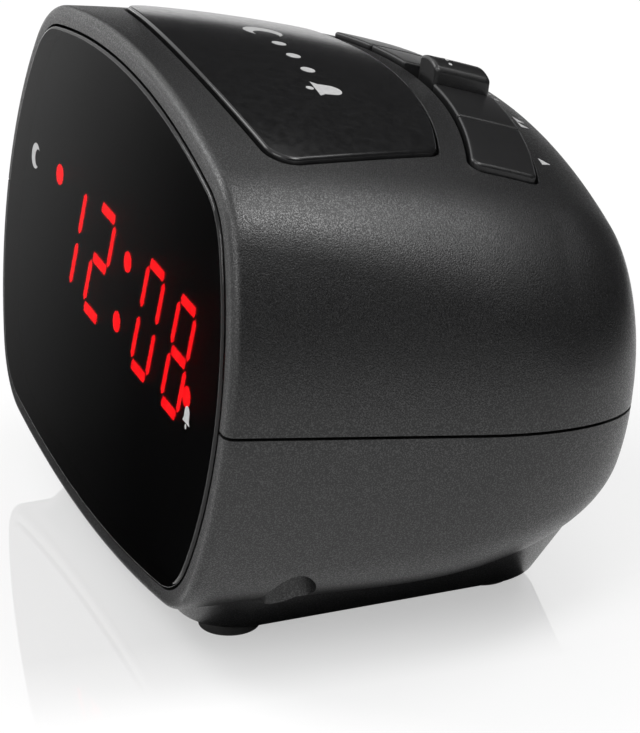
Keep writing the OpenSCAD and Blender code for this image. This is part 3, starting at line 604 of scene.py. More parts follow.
# %% Skirt
BASE_W = 60
BASE_REAR_W = 56
BASE_D = 47
BASE_SET_BACK = 2
BASE_CORNER_R = 7
BASE_EDGE = 1.2
SKIRT_SIDE = 1.0
SKIRT_FRONT = 0.72
SKIRT_REAR = 0.35
SKIRT_CORNER_GAIN = 0.6
SKIRT_TOP = 12
FAR = 2 * HALF_W


def skirt_section(height, inset):
    """Plan of the skirt at a height over its bottom."""
    front_w = BASE_W / 2 + SKIRT_SIDE * height - inset
    rear_w = BASE_REAR_W / 2 + SKIRT_SIDE * height - inset
    front = BASE_SET_BACK - SKIRT_FRONT * height + inset
    rear = BASE_SET_BACK + BASE_D + SKIRT_REAR * height - inset
    r = BASE_CORNER_R + SKIRT_CORNER_GAIN * height - inset / 2
    right = np.vstack([
        arc((front_w - r, front + r), r, -90, 0, CORNER_STEPS),
        arc((rear_w - r, rear - r), r, 0, 90, CORNER_STEPS),
    ])
    plan = np.vstack([right, right[::-1] * (-1, 1)])
    return np.column_stack([plan, np.full(len(plan), height)])


def skirt_solid():
    edge = [skirt_section(height, inset) for inset, height in quarter_round(BASE_EDGE)]
    skirt = loft("skirt", edge + [skirt_section(SKIRT_TOP, 0)], ON_BASE)
    face = rectangle(-HALF_W, HALF_W, -FAR, 0)
    room = [[(x, y, z) for x, z in face] for y in (RIM_W, BODY_DEPTH)]
    return combine(skirt, "INTERSECT", loft("room", room, IN_BODY))


print("points round the skirt:", len(skirt_section(0, 0)))

# %% [markdown]
# ## Inside the lower half
# The works stand in the lower half: rails hold the display's board, two stands carry the transformer, a cup
# takes the backup cell, and tubes surround the screw wells. A tongue along the edge reaches up into the upper
# half and keeps the two in line. All of it is simple, so prisms and turned solids do.

# %% Rails, cup, stands and tongue
BASE_FLOOR_T = 1.8
WELL_R = 3.3
WELL_WALL = 1.3
WELL_DROP = 1
DOOR_AT = (14.5, 22)
CUP_R = 12.6
CUP_WALL = 1
CUP_TOP = 8.4
SINK = 0.4
STANDS = [(-24.1, 32), (-3.1, 32)]
STAND_W = 3
STAND_D = 10
STAND_TOP = 4.2
RAIL_X = 24
RAIL_W = 5
RAIL_SLOT = (8.77, 10.53)
RAIL_SLOT_LOW = -22
RAIL_WALL = 2
RAIL_TOP = -14
RAIL_FOOT = -32.2
TONGUE_START = 3.6
TONGUE_W = 0.9
TONGUE_H = 2
TONGUE_PLAY = 0.2


def well_tube(x, y):
    return bore(x, y, WELL_R + WELL_WALL, -FAR, -SEAM_HALF - WELL_DROP, IN_BODY)


def tongue_band(outside, inside, low, high):
    """Band along the seam's inner edge, round the sides and the rear."""

    def edge(inset):
        s = rise(SKIN_STEPS)
        y = TONGUE_START + (BODY_DEPTH - WALL - TONGUE_START) * s
        right = np.column_stack([(HALF_W - WALL) * side_scale(y, WALL) - inset, y - inset * s])
        return np.vstack([right, right[::-1] * (-1, 1)])

    outline = np.vstack([edge(outside), edge(inside)[::-1]])
    return prism([outline, outline], [low, high], IN_BODY)


def tongue():
    """The tongue makes room for the upper half's rear post."""
    band = tongue_band(TONGUE_PLAY, TONGUE_W, -SEAM_HALF - SINK, TONGUE_H)
    room = POST_R + POST_DRAFT + TONGUE_PLAY
    return combine(band, "DIFFERENCE", bore(*CASE_SCREWS[2], room, -SEAM_HALF, TONGUE_H + PAST, IN_BODY))


def board_rail(side):
    """Guide that holds the display board's lower edge."""
    wall_y = (RAIL_SLOT[0] - RAIL_WALL, RAIL_SLOT[1] + RAIL_WALL)
    x0 = side * RAIL_X - RAIL_W / 2
    plans = [rectangle(x0, x0 + RAIL_W, *wall_y, grow) for grow in (POST_DRAFT, 0)]
    rail = prism(plans, [RAIL_FOOT, RAIL_TOP], IN_BODY)
    slot = rectangle(x0 - PAST, x0 + RAIL_W + PAST, *RAIL_SLOT)
    return combine(rail, "DIFFERENCE", prism([slot, slot], [RAIL_SLOT_LOW, 0], IN_BODY))


def cell_cup():
    outer = CUP_R + CUP_WALL
    cup = rod(*DOOR_AT, [(outer + POST_DRAFT, BASE_FLOOR_T - SINK), (outer, CUP_TOP + CUP_WALL)], ON_BASE)
    return combine(cup, "DIFFERENCE", bore(*DOOR_AT, CUP_R, 0, CUP_TOP, ON_BASE))


def stand(x, y):
    plan = (x - STAND_W / 2, x + STAND_W / 2, y - STAND_D / 2, y + STAND_D / 2)
    return prism([rectangle(*plan, POST_DRAFT), rectangle(*plan)], [BASE_FLOOR_T - SINK, STAND_TOP], ON_BASE)


root = tongue_band(-WALL / 3, TONGUE_W, -TONGUE_H, -SEAM_HALF)
fittings = [root, tongue(), board_rail(1), board_rail(-1), cell_cup()]
fittings += [stand(*place) for place in STANDS]
print("fittings inside:", len(fittings))

# %% [markdown]
# ## Lower half of the case
# It is made as the moulder thinks of it: shell and skirt joined, hollowed, fitted out, then drilled. The
# drills leave the screw wells, a pocket for each foot, the seat of the round battery door with openings for
# its lugs, and the hole for the mains lead.

# %% Lower shell
SKIRT_WALL = 1.5 * WALL
WELL_TOP = -10
SCREW_HOLE_R = 1.65
FOOT_R = 3.9
FOOT_SINK = 0.6
FOOT_PLAY = 0.05
FEET = [(25.5, 7.4), (-25.5, 7.4), (22, 42.5), (-22, 42.5)]
DOOR_R = 11.8
DOOR_FLANGE_T = 0.9
DOOR_HUB_R = 10.6
DOOR_PLAY = 0.1
LUG_R = 12.3
LUG_OPENINGS = (67, 109)
CORD_HOLE = (-20, -4)
CORD_HOLE_R = 1.9


def lug_opening(turn):
    """Opening in the base floor that lets a lug of the round door pass."""
    start, end = LUG_OPENINGS
    sector = np.vstack([[DOOR_AT], arc(DOOR_AT, LUG_R + DOOR_PLAY, start + turn, end + turn, CORNER_STEPS)])
    return prism([sector, sector], [-PAST, BASE_FLOOR_T + PAST], ON_BASE)


lower_shell = loft("lower_shell", shell_sections(False), IN_BODY, closed=False)
combine(lower_shell, "UNION", combine(skirt_solid(), "DIFFERENCE", core_solid()))
hollow = [skirt_section(height, SKIRT_WALL) for height in (BASE_FLOOR_T, SKIRT_TOP)]
combine(lower_shell, "DIFFERENCE", loft("hollow", hollow, ON_BASE))
for x, y in CASE_SCREWS:
    tube = combine(well_tube(x, y), "INTERSECT", combine(core_solid(), "UNION", skirt_solid()))
    combine(lower_shell, "UNION", tube)
combine(lower_shell, "UNION", *fittings)
drills = [bore(x, y, WELL_R, -FAR, WELL_TOP, IN_BODY) for x, y in CASE_SCREWS]
drills += [bore(x, y, SCREW_HOLE_R, WELL_TOP - PAST, PAST, IN_BODY) for x, y in CASE_SCREWS]
drills += [bore(x, y, FOOT_R + FOOT_PLAY, -PAST, FOOT_SINK, ON_BASE) for x, y in FEET]
drills.append(bore(*DOOR_AT, DOOR_R + DOOR_PLAY, -PAST, DOOR_FLANGE_T, ON_BASE))
drills.append(bore(*DOOR_AT, DOOR_HUB_R + DOOR_PLAY, -PAST, BASE_FLOOR_T + PAST, ON_BASE))
drills += [lug_opening(0), lug_opening(180)]
cord_way = Matrix.Translation((CORD_HOLE[0], BODY_DEPTH, CORD_HOLE[1])) @ Matrix.Rotation(math.pi / 2, 4, "X")
drills.append(bore(0, 0, CORD_HOLE_R, -WALL, 3 * WALL, IN_BODY @ cord_way))
combine(lower_shell, "DIFFERENCE", *drills)
finish_mesh(lower_shell)

# %% [markdown]
# ## Window
# The window is a flat sheet of smoked acrylic with a polished bevel, pressed behind the rim's lip. A loft of
# the rim's own outline gives the bevel as an arc, so it carries one thin bright line of light all round.

# %% Window pane


def window_section(y, inset):
    ring = whole_section(0, inset)
    ring[:, 1] = y
    return ring


def window_sections():
    flange = WALL + FLANGE_PLAY
    well = RIM_W + FLANGE_D
    bevel = [window_section(y - LENS_PROUD, RIM_W + inset) for y, inset in quarter_round(LENS_BEVEL)[::-1]]
    back = [(LIP_T, RIM_W), (LIP_T, flange), (LIP_T + FLANGE_D, flange), (LIP_T + FLANGE_D, well)]
    back.append((LENS_T - LENS_PROUD, well))
    return bevel + [window_section(y, e) for y, e in back]


window = finish_mesh(loft("window", window_sections(), IN_BODY))

# %% [markdown]
# ## Key mouldings
# Each key is a moulding whose top follows the roof. A wall rises from under the roof, an arc rolls its
# edge over, and shrinking outlines carry the top to the middle. Every point of the top takes its height from
# the roof, so the highlight runs over it without a break. Under the roof a flange keeps a key from coming
# out, and a stem reaches down to its switch.

# %% Key builder
KEY_SEAT = 0.25
KEY_JOIN = 0.2
KEY_FLANGE = 1
KEY_FLANGE_T = 1.1
CROWN_RINGS = 14
CROWN_END = 0.02
STEM_R = 1.6
SWITCH_TOP = 22.4
PRESS_PLAY = 0.3


def flange(outline, drop=0.0):
    top = -WALL - KEY_SEAT - drop
    return loft("flange", [on_roof(outline, top - KEY_FLANGE_T), on_roof(outline, top)], IN_BODY)


def stem(place, travel):
    high = roof_skin(*place) - WALL - KEY_SEAT - KEY_FLANGE_T / 2
    return bore(*place, STEM_R, SWITCH_TOP + travel + PRESS_PLAY, high, IN_BODY)


def key_solid(name, outline, proud, edge_round, under, drop=0.0, dip=None):
    """Moulding over an outline, from under the roof to its crown, with the solids under it."""

    def top(plan):
        z = roof_skin(plan[:, 0], plan[:, 1]) + proud
        return z if dip is None else z - dip(plan)

    rings = [on_roof(outline, -WALL - KEY_SEAT - KEY_JOIN - drop)]
    for fall, inset in quarter_round(edge_round):
        plan = grown(outline, -inset)
        rings.append(np.column_stack([plan, top(plan) - fall]))
    inner = grown(outline, -edge_round)
    middle = inner.mean(axis=0)
    for share in np.linspace(1, CROWN_END, CROWN_RINGS)[1:]:
        plan = middle + (inner - middle) * share
        rings.append(np.column_stack([plan, top(plan)]))
    return finish_mesh(combine(loft(name, rings, IN_BODY), "UNION", *under))


# %% [markdown]
# ## Snooze bar and buttons
# The bar is the widest key. The four buttons lie side by side in the arched strip, and between them is the
# bay of the switch. Only the two ends of the row have large corners, as the strip's opening has.

# %% Snooze bar and buttons
KEY_ROUND = 0.4
BUTTON_PROUD = 0.8
KEY_CORNER = 1.1
KEY_INNER_CORNER = 0.35
SNOOZE_TRAVEL = 1
BUTTON_TRAVEL = 0.8
SNOOZE_STEM = (0, 21)


def key_spans():
    """Left and right end of each key in the strip, and of the bay."""
    spans = {}
    x = -STRIP_W / 2
    for key, width in KEY_WIDTHS.items():
        spans[key] = (x + CONTROL_PLAY / 2, x + width - CONTROL_PLAY / 2)
        x += width
    return spans


def key_middle(key):
    return sum(KEY_X[key]) / 2


def strip_middle(x):
    """Point of the strip's middle line at x."""
    return x, ARC_CENTRE + math.sqrt(((STRIP_R1 + STRIP_R2) / 2) ** 2 - x**2)


def button(key):
    left = KEY_CORNER if key == "alarm" else KEY_INNER_CORNER
    right = KEY_CORNER if key == "minute" else KEY_INNER_CORNER
    radii = [left, right, right, left]
    rim = flange(strip_outline(*KEY_X[key], radii, shrink=-KEY_FLANGE))
    pin = stem(strip_middle(key_middle(key)), BUTTON_TRAVEL)
    return key_solid(f"{key}_key", strip_outline(*KEY_X[key], radii), BUTTON_PROUD, KEY_ROUND, [rim, pin])


KEY_X = key_spans()
snooze_under = [flange(grown(SNOOZE, KEY_FLANGE)), stem(SNOOZE_STEM, SNOOZE_TRAVEL)]
snooze_key = key_solid("snooze_key", SNOOZE, SNOOZE_PROUD, KEY_ROUND, snooze_under)
keys = {key: button(key) for key in ("alarm", "time", "hour", "minute")}

# %% [markdown]
# ## Switch knob
# The knob stands at the right end of its bay, higher than the keys, because it is pushed from the side. Its
# top falls from a middle ridge to both ends, which is one more height to take away from each point.

# %% Switch knob
KNOB_W = 5.6
KNOB_PROUD = 3.4
KNOB_CORNERS = [0.7] * 4
KNOB_ROUND = 0.6
KNOB_DIP = 0.7
KNOB_DROP = 0.3
knob_right = KEY_X["hour"][0] - 1.5 * CONTROL_PLAY
knob_left = knob_right - KNOB_W
knob_middle = (knob_left + knob_right) / 2


def knob_dip(plan):
    share = np.abs(plan[:, 0] - knob_middle) / (KNOB_W / 2)
    return KNOB_DIP * share**2


knob_plan = strip_outline(knob_left, knob_right, KNOB_CORNERS, shrink=CONTROL_PLAY)
knob_rim = flange(strip_outline(knob_left, knob_right, KNOB_CORNERS, shrink=-KEY_FLANGE), KNOB_DROP)
switch_slider = key_solid("switch_slider", knob_plan, KNOB_PROUD, KNOB_ROUND, [knob_rim], KNOB_DROP, knob_dip)

# %% [markdown]
# ## Node maths
# Finishes and node trees are easier to read as sums than as webs of boxes. This class wraps one socket. The
# operators add Math nodes, and make() adds any other node from its type, its settings and its sockets.

# %% Wires


class Wire:
    """A socket of a node tree that Python's operators can reckon with."""

    def __init__(self, tree, socket=None):
        self.tree = tree
        self.socket = socket

    def make(self, kind, settings=None, sockets=None, output=0):
        node = self.tree.nodes.new(kind)
        for name, value in (settings or {}).items():
            if name == "stops":
                for stop, (place, colour) in zip(self.ramp_stops(node, len(value)), value):
                    stop.position = place
                    stop.color = colour
            else:
                setattr(node, name, value)
        for name, value in (sockets or {}).items():
            if isinstance(value, Wire):
                self.tree.links.new(value.socket, node.inputs[name])
            else:
                node.inputs[name].default_value = value
        return Wire(self.tree, node.outputs[output]) if len(node.outputs) else node

    @staticmethod
    def ramp_stops(node, count):
        while len(node.color_ramp.elements) < count:
            node.color_ramp.elements.new(1.0)
        return node.color_ramp.elements

    def math(self, operation, a, b=0.0, c=0.0):
        return self.make("ShaderNodeMath", {"operation": operation}, {0: a, 1: b, 2: c})

    def vector(self, x, y, z):
        return self.make("ShaderNodeCombineXYZ", None, {0: x, 1: y, 2: z})

    def split(self):
        node = self.make("ShaderNodeSeparateXYZ", None, {0: self}).socket.node
        return [Wire(self.tree, part) for part in node.outputs]

    def __add__(self, other):
        return self.math("ADD", self, other)

    def __sub__(self, other):
        return self.math("SUBTRACT", self, other)

    def __mul__(self, other):
        return self.math("MULTIPLY", self, other)

    def __truediv__(self, other):
        return self.math("DIVIDE", self, other)

    def __rsub__(self, other):
        return self.math("SUBTRACT", other, self)

    __radd__ = __add__
    __rmul__ = __mul__


# %% [markdown]
# ## Starting a finish
# Every finish starts from a Principled shader. What is the same all over a surface is set on its sockets, and
# what changes is plugged in as a sum of fields. The fields are noise on Object coordinates, in metres, so a
# grain keeps its real size.

# %% Material helpers


def principled(name, **constants):
    """New material with a Principled shader. Constants are set on its own sockets."""
    material = bpy.data.materials.new(name)
    material.use_nodes = True
    shader = material.node_tree.nodes["Principled BSDF"]
    for socket, value in constants.items():
        shader.inputs[socket.replace("_", " ")].default_value = value
    return material, Wire(material.node_tree), shader


def plug(wire, shader, socket):
    wire.tree.links.new(wire.socket, shader.inputs[socket])


def grey(level):
    """Grey with a trace of blue."""
    return (level, level, level * 1.03, 1.0)


def ramp(w, field, *stops):
    """Greys or colours along a field."""
    return w.make("ShaderNodeValToRGB", {"stops": list(stops)}, {"Fac": field})


def noise(w, place, scale, detail=2.0):
    return w.make("ShaderNodeTexNoise", None, {"Vector": place, "Scale": scale, "Detail": detail})


def here(w):
    return w.make("ShaderNodeTexCoord", output="Object")


def bumped(w, height, strength, depth):
    return w.make("ShaderNodeBump", None, {"Strength": strength, "Distance": depth, "Height": height})


# %% [markdown]
# ## Finishes of the case
# The case is charcoal plastic from a spark-eroded mould: dark and satin, with a fine grain. Flakes near its
# surface sparkle where it mirrors a lamp and stay dark elsewhere, so they are a coat with a speckled weight
# rather than paler dots. A broad field drifts the gloss a little, as on any moulding that has been handled.

# %% Charcoal case
GRAIN = 5400
FLAKES = 5600
DRIFT = 45


def charcoal():
    material, w, shader = principled("charcoal", Specular_IOR_Level=0.42, Coat_Roughness=0.3)
    place = here(w)
    grain = noise(w, place, GRAIN, 1.0)
    flakes = noise(w, place, FLAKES, 0.0)
    drift = noise(w, place, DRIFT, 3.0)
    plug(ramp(w, grain, (0.38, grey(0.006)), (0.58, grey(0.01)), (0.74, grey(0.018))), shader, "Base Color")
    plug(0.21 + 0.08 * drift + 0.26 * grain, shader, "Roughness")
    plug(ramp(w, flakes, (0.5, grey(0.0)), (0.64, grey(0.6))), shader, "Coat Weight")
    plug(bumped(w, grain, 0.8, 0.00007), shader, "Normal")
    return material


CHARCOAL = charcoal()
print("case grain:", round(1000 / GRAIN, 2), "mm")

# %% [markdown]
# ## Polished finishes
# The snooze bar and the window are polished black, and the small keys are satin. What shows on them is mostly
# what they mirror, so the colour is nearly nothing and the care goes into the gloss: a fine haze on the bar,
# almost none on the window. The window is smoked acrylic, and each of its two faces lets about a sixth of the
# light through. Its inner side is etched, so that the display isn't mirrored a second time in the pane.

# %% Keys and window
WINDOW_ALPHA = 0.84
WINDOW_ETCH = 0.35


def gloss_black():
    material, w, shader = principled("gloss_black", Specular_IOR_Level=0.4)
    haze = noise(w, here(w), 900.0, 3.0)
    plug(ramp(w, haze, (0.3, grey(0.007)), (0.7, grey(0.011))), shader, "Base Color")
    plug(0.1 + 0.1 * haze, shader, "Roughness")
    return material


def smoked():
    material, w, shader = principled("smoked_acrylic", Specular_IOR_Level=0.4, Alpha=WINDOW_ALPHA)
    haze = noise(w, here(w), 60.0)
    inside = w.make("ShaderNodeNewGeometry", output="Backfacing")
    plug(ramp(w, haze, (0.3, grey(0.0012)), (0.7, grey(0.002))), shader, "Base Color")
    plug(0.03 + 0.04 * haze + WINDOW_ETCH * inside, shader, "Roughness")
    return material


def satin_black():
    """The small keys are duller than the snooze bar, with a fine spark-eroded top."""
    material, w, shader = principled("satin_black", Specular_IOR_Level=0.45)
    fine = noise(w, here(w), 5200.0)
    plug(ramp(w, fine, (0.35, grey(0.007)), (0.7, grey(0.016))), shader, "Base Color")
    plug(0.24 + 0.14 * fine, shader, "Roughness")
    plug(bumped(w, fine, 0.35, 0.00002), shader, "Normal")
    return material


GLOSS = gloss_black()
SATIN = satin_black()
SMOKED = smoked()
print("a face of the window lets through", round(1 - WINDOW_ALPHA, 2))

# %% [markdown]
# ## Light of the display
# A lit bar is a red diffuser with a lamp behind it. An emission whose colour drifts slowly stands for that,
# and it is strong, because the window takes most of it away. The bars that are off are the same diffuser
# without its lamp: a dark, slightly milky plum.

# %% Display finishes
LED_RED = (1.0, 0.002, 0.006, 1.0)
LED_STRENGTH = 44.0


def led_lit():
    material, w, shader = principled("led_lit", Roughness=0.5, Emission_Strength=LED_STRENGTH)
    glow = noise(w, here(w), 700.0)
    hot = (1.0, 0.01, 0.012, 1.0)
    plug(ramp(w, glow, (0.3, LED_RED), (0.75, hot)), shader, "Emission Color")
    plug(ramp(w, glow, (0.3, (0.3, 0.01, 0.01, 1)), (0.7, (0.45, 0.02, 0.02, 1))), shader, "Base Color")
    return material


def led_off():
    material, w, shader = principled("led_off", Specular_IOR_Level=0.3)
    milk = noise(w, here(w), 1200.0)
    plug(ramp(w, milk, (0.3, (0.03, 0.012, 0.014, 1)), (0.7, (0.045, 0.018, 0.02, 1))), shader, "Base Color")
    plug(0.5 + 0.2 * milk, shader, "Roughness")
    return material


LED_LIT = led_lit()
LED_OFF = led_off()
print("lit bars at strength", LED_STRENGTH)

# %% [markdown]
# ## Finishes of the works
# The pieces inside are seen only when the case is open, but each still gets its own finish: moulded black
# parts, a green board with tracks, laminated steel, wound copper under tape, sleeved capacitors, ribbed
# cable, plated screws, brass and rubber. One builder gives the speckled ones, the red guides and the pale
# ink too. A second one gives those with ribs, and the board has its own.

# %% Inner finishes


def speckled(name, low, high, scale, rough, bump=0.2, **constants):
    """Material with one noise field in its colour, gloss and surface."""
    material, w, shader = principled(name, **constants)
    field = noise(w, here(w), scale, 3.0)
    plug(ramp(w, field, (0.3, (*low, 1)), (0.7, (*high, 1))), shader, "Base Color")
    plug(rough[0] + (rough[1] - rough[0]) * field, shader, "Roughness")
    plug(bumped(w, field, bump, 0.00003), shader, "Normal")
    return material


def striped(name, low, high, pitch, along, rough, **constants):
    """Material with fine ribs at a pitch in millimetres along one axis of x, y or z."""
    material, w, shader = principled(name, **constants)
    place = here(w)
    across = place.split()["xyz".index(along)]
    rib = 0.5 + 0.5 * w.math("SINE", across * (2 * math.pi / (pitch * MM)))
    fleck = noise(w, place, 1500.0)
    plug(ramp(w, 0.7 * rib + 0.3 * fleck, (0.15, (*low, 1)), (0.6, (*high, 1))), shader, "Base Color")
    plug(rough + 0.15 * fleck, shader, "Roughness")
    plug(bumped(w, rib, 0.5, 0.00008), shader, "Normal")
    return material


def circuit_board():
    """Green mask over tracks that run in two directions."""
    material, w, shader = principled("circuit_board", Specular_IOR_Level=0.5)
    place = here(w)
    bricks = {"Vector": place, "Scale": 260.0, "Mortar Size": 0.06, "Brick Width": 1.6, "Row Height": 0.5}
    bricks.update({"Color1": (1, 1, 1, 1), "Color2": (1, 1, 1, 1), "Mortar": (0, 0, 0, 1)})
    tracks = w.make("ShaderNodeTexBrick", None, bricks, output="Fac")
    weave = noise(w, place, 1800.0)
    green = ramp(w, 0.75 * tracks + 0.25 * weave, (0.1, (0.01, 0.06, 0.025, 1)), (0.7, (0.03, 0.13, 0.05, 1)))
    plug(green, shader, "Base Color")
    plug(0.3 + 0.2 * weave, shader, "Roughness")
    plug(bumped(w, tracks, 0.4, 0.00004), shader, "Normal")
    return material


INNER = speckled("black_moulding", (0.012, 0.012, 0.013), (0.02, 0.02, 0.021), 1600.0, (0.5, 0.7))
EPOXY = speckled("black_epoxy", (0.01, 0.01, 0.01), (0.022, 0.022, 0.022), 3000.0, (0.45, 0.6), 0.35)
SLEEVE = speckled("blue_sleeve", (0.01, 0.02, 0.07), (0.016, 0.032, 0.1), 500.0, (0.25, 0.4))
STEEL = speckled("plated_steel", (0.5, 0.5, 0.5), (0.66, 0.66, 0.65), 1400.0, (0.2, 0.4), 0.1, Metallic=1.0)
BRASS = speckled(
    "contact_brass", (0.6, 0.42, 0.16), (0.72, 0.52, 0.22), 1200.0, (0.22, 0.42), 0.1, Metallic=1.0
)
RUBBER = speckled("foot_rubber", (0.008, 0.008, 0.008), (0.018, 0.018, 0.018), 2600.0, (0.7, 0.9), 0.5)
NYLON = speckled("switch_nylon", (0.3, 0.29, 0.26), (0.4, 0.39, 0.35), 900.0, (0.4, 0.55))
CORE = striped("laminated_steel", (0.1, 0.1, 0.105), (0.28, 0.28, 0.29), 0.5, "y", 0.35, Metallic=0.9)
COIL = striped("wound_tape", (0.3, 0.16, 0.03), (0.5, 0.3, 0.06), 0.6, "z", 0.35)
RIBBON = striped("ribbon_cable", (0.16, 0.16, 0.17), (0.42, 0.42, 0.43), 1.27, "x", 0.45)
BOARD = circuit_board()
GUIDE = speckled("red_epoxy", (0.2, 0.008, 0.008), (0.3, 0.012, 0.012), 900.0, (0.4, 0.55))
DULL_STEEL = speckled(
    "blackened_steel", (0.03, 0.03, 0.03), (0.06, 0.06, 0.06), 1200.0, (0.5, 0.65), Metallic=0.6
)
INK = speckled(
    "pale_ink", (0.38, 0.38, 0.38), (0.46, 0.46, 0.46), 2200.0, (0.45, 0.6), 0.1, Specular_IOR_Level=0.3
)
print("finishes:", len(bpy.data.materials))

# %% [markdown]
# ## Node trees
# What repeats is made by Geometry Nodes. Each tree has named inputs for its sizes and its finish, so one tree
# can serve several pieces. A piece starts as loose points, which may carry values. The tree runs on them as a
# modifier, and the mesh that comes out is kept without it.

# %% Tree helpers


def new_tree(name, **inputs):
    """Empty geometry tree with named inputs. Returns it with a wire for each input and its exit."""
    tree = bpy.data.node_groups.new(name, "GeometryNodeTree")
    tree.interface.new_socket("Geometry", in_out="OUTPUT", socket_type="NodeSocketGeometry")
    tree.interface.new_socket("Points", in_out="INPUT", socket_type="NodeSocketGeometry")
    for title, kind in inputs.items():
        tree.interface.new_socket(title, in_out="INPUT", socket_type=f"NodeSocket{kind}")
    entry = tree.nodes.new("NodeGroupInput")
    leave = tree.nodes.new("NodeGroupOutput")
    return Wire(tree), {out.name: Wire(tree, out) for out in entry.outputs if out.name}, leave


def joined(w, *shapes):
    node = w.tree.nodes.new("GeometryNodeJoinGeometry")
    for shape in shapes:
        w.tree.links.new(shape.socket, node.inputs[0])
    return Wire(w.tree, node.outputs[0])


def points_object(name, points, **attributes):
    """Loose points that carry values for a node tree."""
    obj = mesh_object(name, points, [])
    for title, values in attributes.items():
        obj.data.attributes.new(title, "INT", "POINT").data.foreach_set("value", values)
    return obj


def grow_tree(obj, tree, **values):
    """Runs a tree on an object and keeps the mesh that it makes."""
    step = obj.modifiers.new(tree.name, "NODES")
    step.node_group = tree
    for item in tree.interface.items_tree:
        if item.in_out == "INPUT" and item.name in values:
            step[item.identifier] = values[item.name]
    return settle(obj)


# %% [markdown]
# ## Bars and dots of the display
# A digit is seven bars, and every bar is a pointed outline in one of two lengths. That is a rule, so a node
# tree makes it: a circle with six corners is pulled out to the length, given depth, copied to points that say
# which kind they are, and leaned over by one shear. Three objects share the tree: the guides of the lit bars,
# the dark bars, and the lit faces on the film before the guides, which are squarer and set wider.

# %% Node tree for the display
WIDE_BAR, TALL_BAR, DOT = range(3)
DOT_CORNERS = 48
MERGE_REACH = 0.0001


def thick(w, flat, depth):
    """Closed solid from a flat face."""
    raised = w.make("GeometryNodeExtrudeMesh", {"mode": "FACES"}, {"Mesh": flat, "Offset Scale": depth})
    bottom = w.make("GeometryNodeFlipFaces", None, {"Mesh": flat})
    both = joined(w, raised, bottom)
    return w.make("GeometryNodeMergeByDistance", None, {"Geometry": both, "Distance": MERGE_REACH})


def bar_shape(w, width, length, depth, tip):
    """Bar along x, whose ends run to a point over the tip's length."""
    circle = w.make("GeometryNodeMeshCircle", {"fill_type": "NGON"}, {"Vertices": 6, "Radius": width})
    x, y, z = w.make("GeometryNodeInputPosition").split()
    inset = tip * (2.0 - 2.0 * w.math("ABSOLUTE", x) / width)
    stretched = w.math("SIGN", x) * (0.5 * length - inset)
    outline = w.vector(stretched, y / math.sqrt(3), z)
    return thick(w, w.make("GeometryNodeSetPosition", None, {"Geometry": circle, "Position": outline}), depth)


def display_tree():
    sizes = ("Width", "Thin", "Wide", "Tall", "Tip", "Depth", "Dot", "Slant", "Level")
    w, given, leave = new_tree("display", Finish="Material", **{size: "Float" for size in sizes})
    kind = w.make("GeometryNodeInputNamedAttribute", {"data_type": "INT"}, {"Name": "kind"})
    tall = bar_shape(w, given["Thin"], given["Tall"], given["Depth"], 0.5 * given["Thin"])
    quarter_turn = (0, 0, math.pi / 2)
    round_dot = {"Vertices": DOT_CORNERS, "Radius": given["Dot"]}
    disc = w.make("GeometryNodeMeshCircle", {"fill_type": "NGON"}, round_dot)
    shapes = {
        WIDE_BAR: bar_shape(w, given["Width"], given["Wide"], given["Depth"], given["Tip"]),
        TALL_BAR: w.make("GeometryNodeTransform", None, {"Geometry": tall, "Rotation": quarter_turn}),
        DOT: thick(w, disc, given["Depth"]),
    }
    placed = {}
    for number, shape in shapes.items():
        chosen = w.math("COMPARE", kind, number, 0.5)
        spots = {"Points": given["Points"], "Selection": chosen, "Instance": shape}
        copies = w.make("GeometryNodeInstanceOnPoints", None, spots)
        placed[number] = w.make("GeometryNodeRealizeInstances", None, {"Geometry": copies})
    bars = joined(w, placed[WIDE_BAR], placed[TALL_BAR])
    x, y, z = w.make("GeometryNodeInputPosition").split()
    shear = w.vector((y - given["Level"]) * w.math("TANGENT", given["Slant"]), 0.0, 0.0)
    leaned = w.make("GeometryNodeSetPosition", None, {"Geometry": bars, "Offset": shear})
    whole = joined(w, leaned, placed[DOT])
    done = w.make("GeometryNodeSetMaterial", None, {"Geometry": whole, "Material": given["Finish"]})
    w.tree.links.new(done.socket, leave.inputs[0])
    return w.tree


DISPLAY_TREE = display_tree()
print("display tree:", len(DISPLAY_TREE.nodes), "nodes")

# %% [markdown]
# ## The time it shows
# The bars carry letters, and a table says which of them make each figure. Their places are written in halves
# of a digit, so the guides and the wider faces share them. The colon leans as the digits do.

# %% Places of the bars
DIGIT_SLANT = 11
DIGIT_LEVEL = 1
DIGIT_PITCH = 12.6
DIGIT_PLACES = [steps * DIGIT_PITCH for steps in (-1.82, -0.82, 0.82, 1.82)]
COLON_X = -0.4
COLON_HALF = 4.35
LONE_DOTS = [(-30, 6.4), (27.5, -2.3)]
TIME_SHOWN = "1208"
BAR_SPOTS = {
    "a": (0, 1, WIDE_BAR),
    "c": (-1, 0.5, TALL_BAR),
    "b": (1, 0.5, TALL_BAR),
    "e": (0, 0, WIDE_BAR),
    "f": (-1, -0.5, TALL_BAR),
    "d": (1, -0.5, TALL_BAR),
    "g": (0, -1, WIDE_BAR),
}
BARS_OF = {"1": "bd", "2": "abefg", "0": "abcdfg", "8": "abcdefg"}


def display_spots(lit, half, level):
    """Middles and kinds of all bars and dots. half is half a digit's width and height between bar middles."""
    spots = []
    for place, figure in zip(DIGIT_PLACES, TIME_SHOWN):
        for letter, (x, z, kind) in BAR_SPOTS.items():
            if (letter in BARS_OF[figure]) == lit:
                spots.append((place + x * half[0], level + z * half[1], kind))
    if lit:
        lean_x = COLON_HALF * math.tan(math.radians(DIGIT_SLANT))
        spots += [(COLON_X + side * lean_x, DIGIT_LEVEL + side * COLON_HALF, DOT) for side in (1, -1)]
        spots += [(x, z, DOT) for x, z in LONE_DOTS]
    return spots


